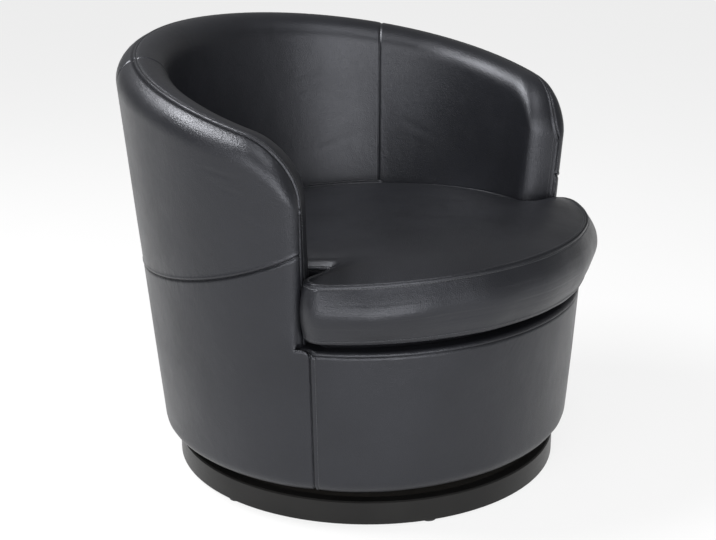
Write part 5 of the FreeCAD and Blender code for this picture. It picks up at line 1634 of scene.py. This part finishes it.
for side in (-1, 1):
    stations = [Station(side * NOSE_START, s) for s in NOSE_FOAM_SHARES]
    nose_sections.append([(s.angle, filled_line(s, NOSE_FOOT + 1.2 * MM)) for s in stations])
pad("nose_foam", "foam", FOAM, ["nose_pads"], *nose_sections)

# %% [markdown]
# ## The deck under the cushion
# Five webbing straps run from front to back and five across, woven over and under each
# other and tacked to the seat ring. A round felt pad lies on them, and plain black cloth is
# stretched over that. Lift the cushion to see the cloth, and turn the chair over to see the
# straps through the square opening of the dust cover.

# %% Weave the straps
STRAP_WIDTH = 50.0 * MM
STRAP_PITCH = 84.0 * MM
STRAP_THICKNESS = 1.35 * MM
STRAP_LEVEL = 281.8 * MM
STRAP_WAVE = 0.72 * MM
STRAP_REACH = 278.0 * MM


def strap(index, across):
    """One woven strap; across turns it from front-to-back to side-to-side."""
    place = index * STRAP_PITCH
    reach = math.sqrt(STRAP_REACH ** 2 - (abs(place) + STRAP_WIDTH / 2) ** 2)
    run = np.linspace(-reach, reach, 81)
    side = -1 if across else 1
    level = STRAP_LEVEL + side * (-1) ** index * STRAP_WAVE * np.cos(math.pi * run / STRAP_PITCH)
    half_width = STRAP_WIDTH / 2
    edge = STRAP_THICKNESS / 2
    section = ([(w, -edge) for w in np.linspace(-half_width, half_width, 6)]
               + [(w, edge) for w in np.linspace(half_width, -half_width, 6)])
    grid = np.zeros((len(section), len(run), 3))
    for row, (w, lift) in enumerate(section):
        flat = (run, place + w + 0 * run) if across else (place + w + 0 * run, run)
        grid[row] = np.stack([flat[0], AXIS_Y + flat[1], level + lift], -1)
    return capped_grid(grid)


for name, across in (("straps_front_to_back", False), ("straps_side_to_side", True)):
    points = []
    faces = []
    for index in range(-2, 3):
        band, band_faces = strap(index, across)
        faces += [tuple(v + len(points) for v in corners) for corners in band_faces]
        points += list(band)
    made = piece("woven_" + name, points, faces, "tub", [name], WEBBING)
    weld(made, 1e-6)
    print(name, len(points), "points")

# %% [markdown]
# ## Felt, deck cloth and dust cover
# The felt and the deck cloth are discs. The dust cover closes the tub from below: a black
# cloth cut to the tub's outline, with a square opening for the swivel plate, stapled all
# round and hanging very slightly between its staples.

# %% Lay the felt
DISC_RADIUS = 278.0 * MM
FELT_LOW = 283.7 * MM
FELT_TOP = 290.8 * MM
CLOTH_LEVEL = 291.5 * MM
CLOTH_THICKNESS = 0.8 * MM
COVER_LEVEL = 64.9 * MM
COVER_SAG = 0.8 * MM
COVER_BORDER = 48.9 * MM
WINDOW = 126.0 * MM

around_disc = np.linspace(0, 360, 97)[:-1]
profile = [(r, FELT_LOW) for r in np.linspace(4 * MM, DISC_RADIUS - 3 * MM, 14)]
profile += [(DISC_RADIUS - 0.9 * MM, FELT_LOW + 0.9 * MM), (DISC_RADIUS, (FELT_LOW + FELT_TOP) / 2),
            (DISC_RADIUS - 0.9 * MM, FELT_TOP - 0.9 * MM)]
profile += [(r, FELT_TOP) for r in np.linspace(DISC_RADIUS - 3 * MM, 4 * MM, 28)]
profile = np.array(profile)
felt = np.array([spot(a, profile[:, 0], profile[:, 1]) for a in around_disc])
top = felt[:, 17:]
top[..., 2] -= 0.25 * MM * (1 + np.sin(top[..., 0] / (13 * MM)) * np.sin(top[..., 1] / (11 * MM)))
points, faces = capped_grid(felt)
felt_pad = piece("deck_felt", points, faces, "tub", ["deck_pad"], FELT)
weld(felt_pad, 1e-6)

print("felt is", round(FELT_TOP - FELT_LOW, 4), "m thick")

# %% Stretch the deck cloth
radii = np.linspace(6 * MM, DISC_RADIUS - 0.3 * MM, 36)
cloth = np.array([spot(a, radii, CLOTH_LEVEL + 0 * radii) for a in np.append(around_disc, 360.0)])
cloth_points = [*cloth.reshape(-1, 3), (0.0, AXIS_Y, CLOTH_LEVEL)]
cloth_faces = grid_faces(len(cloth), len(radii))
cloth_faces += [(c * len(radii), len(cloth_points) - 1, (c + 1) * len(radii)) for c in range(len(cloth) - 1)]
deck_cloth = piece("deck_cover_cloth", cloth_points, cloth_faces, "tub",
                   ["deck_cloth"], BLACK_CLOTH)
weld(deck_cloth, 0.05 * MM)
thicken(deck_cloth, CLOTH_THICKNESS, 0.0)
print("deck cloth is", 2 * DISC_RADIUS, "m across")

# %% Close the tub from below
cover_turns = np.linspace(0, 360, 193)
shares = np.linspace(0, 1, 26)
cover = []
for angle in cover_turns:
    window = WINDOW / max(abs(math.sin(math.radians(angle))), abs(math.cos(math.radians(angle))))
    edge = float(outer_radius((angle + 180) % 360 - 180, 65 * MM)) - COVER_BORDER
    sag = COVER_SAG * np.sin(math.pi * shares) * (0.6 + 0.4 * math.cos(math.radians(6 * angle)))
    cover.append(spot(angle, window + shares * (edge - window), COVER_LEVEL - sag))
cover = np.array(cover)
dust_cover = piece("underside_dust_cover", cover.reshape(-1, 3), grid_faces(*cover.shape[:2]), "tub",
                   ["dust_cover"], BLACK_CLOTH)
weld(dust_cover, 0.05 * MM)
thicken(dust_cover, CLOTH_THICKNESS, 0.0)
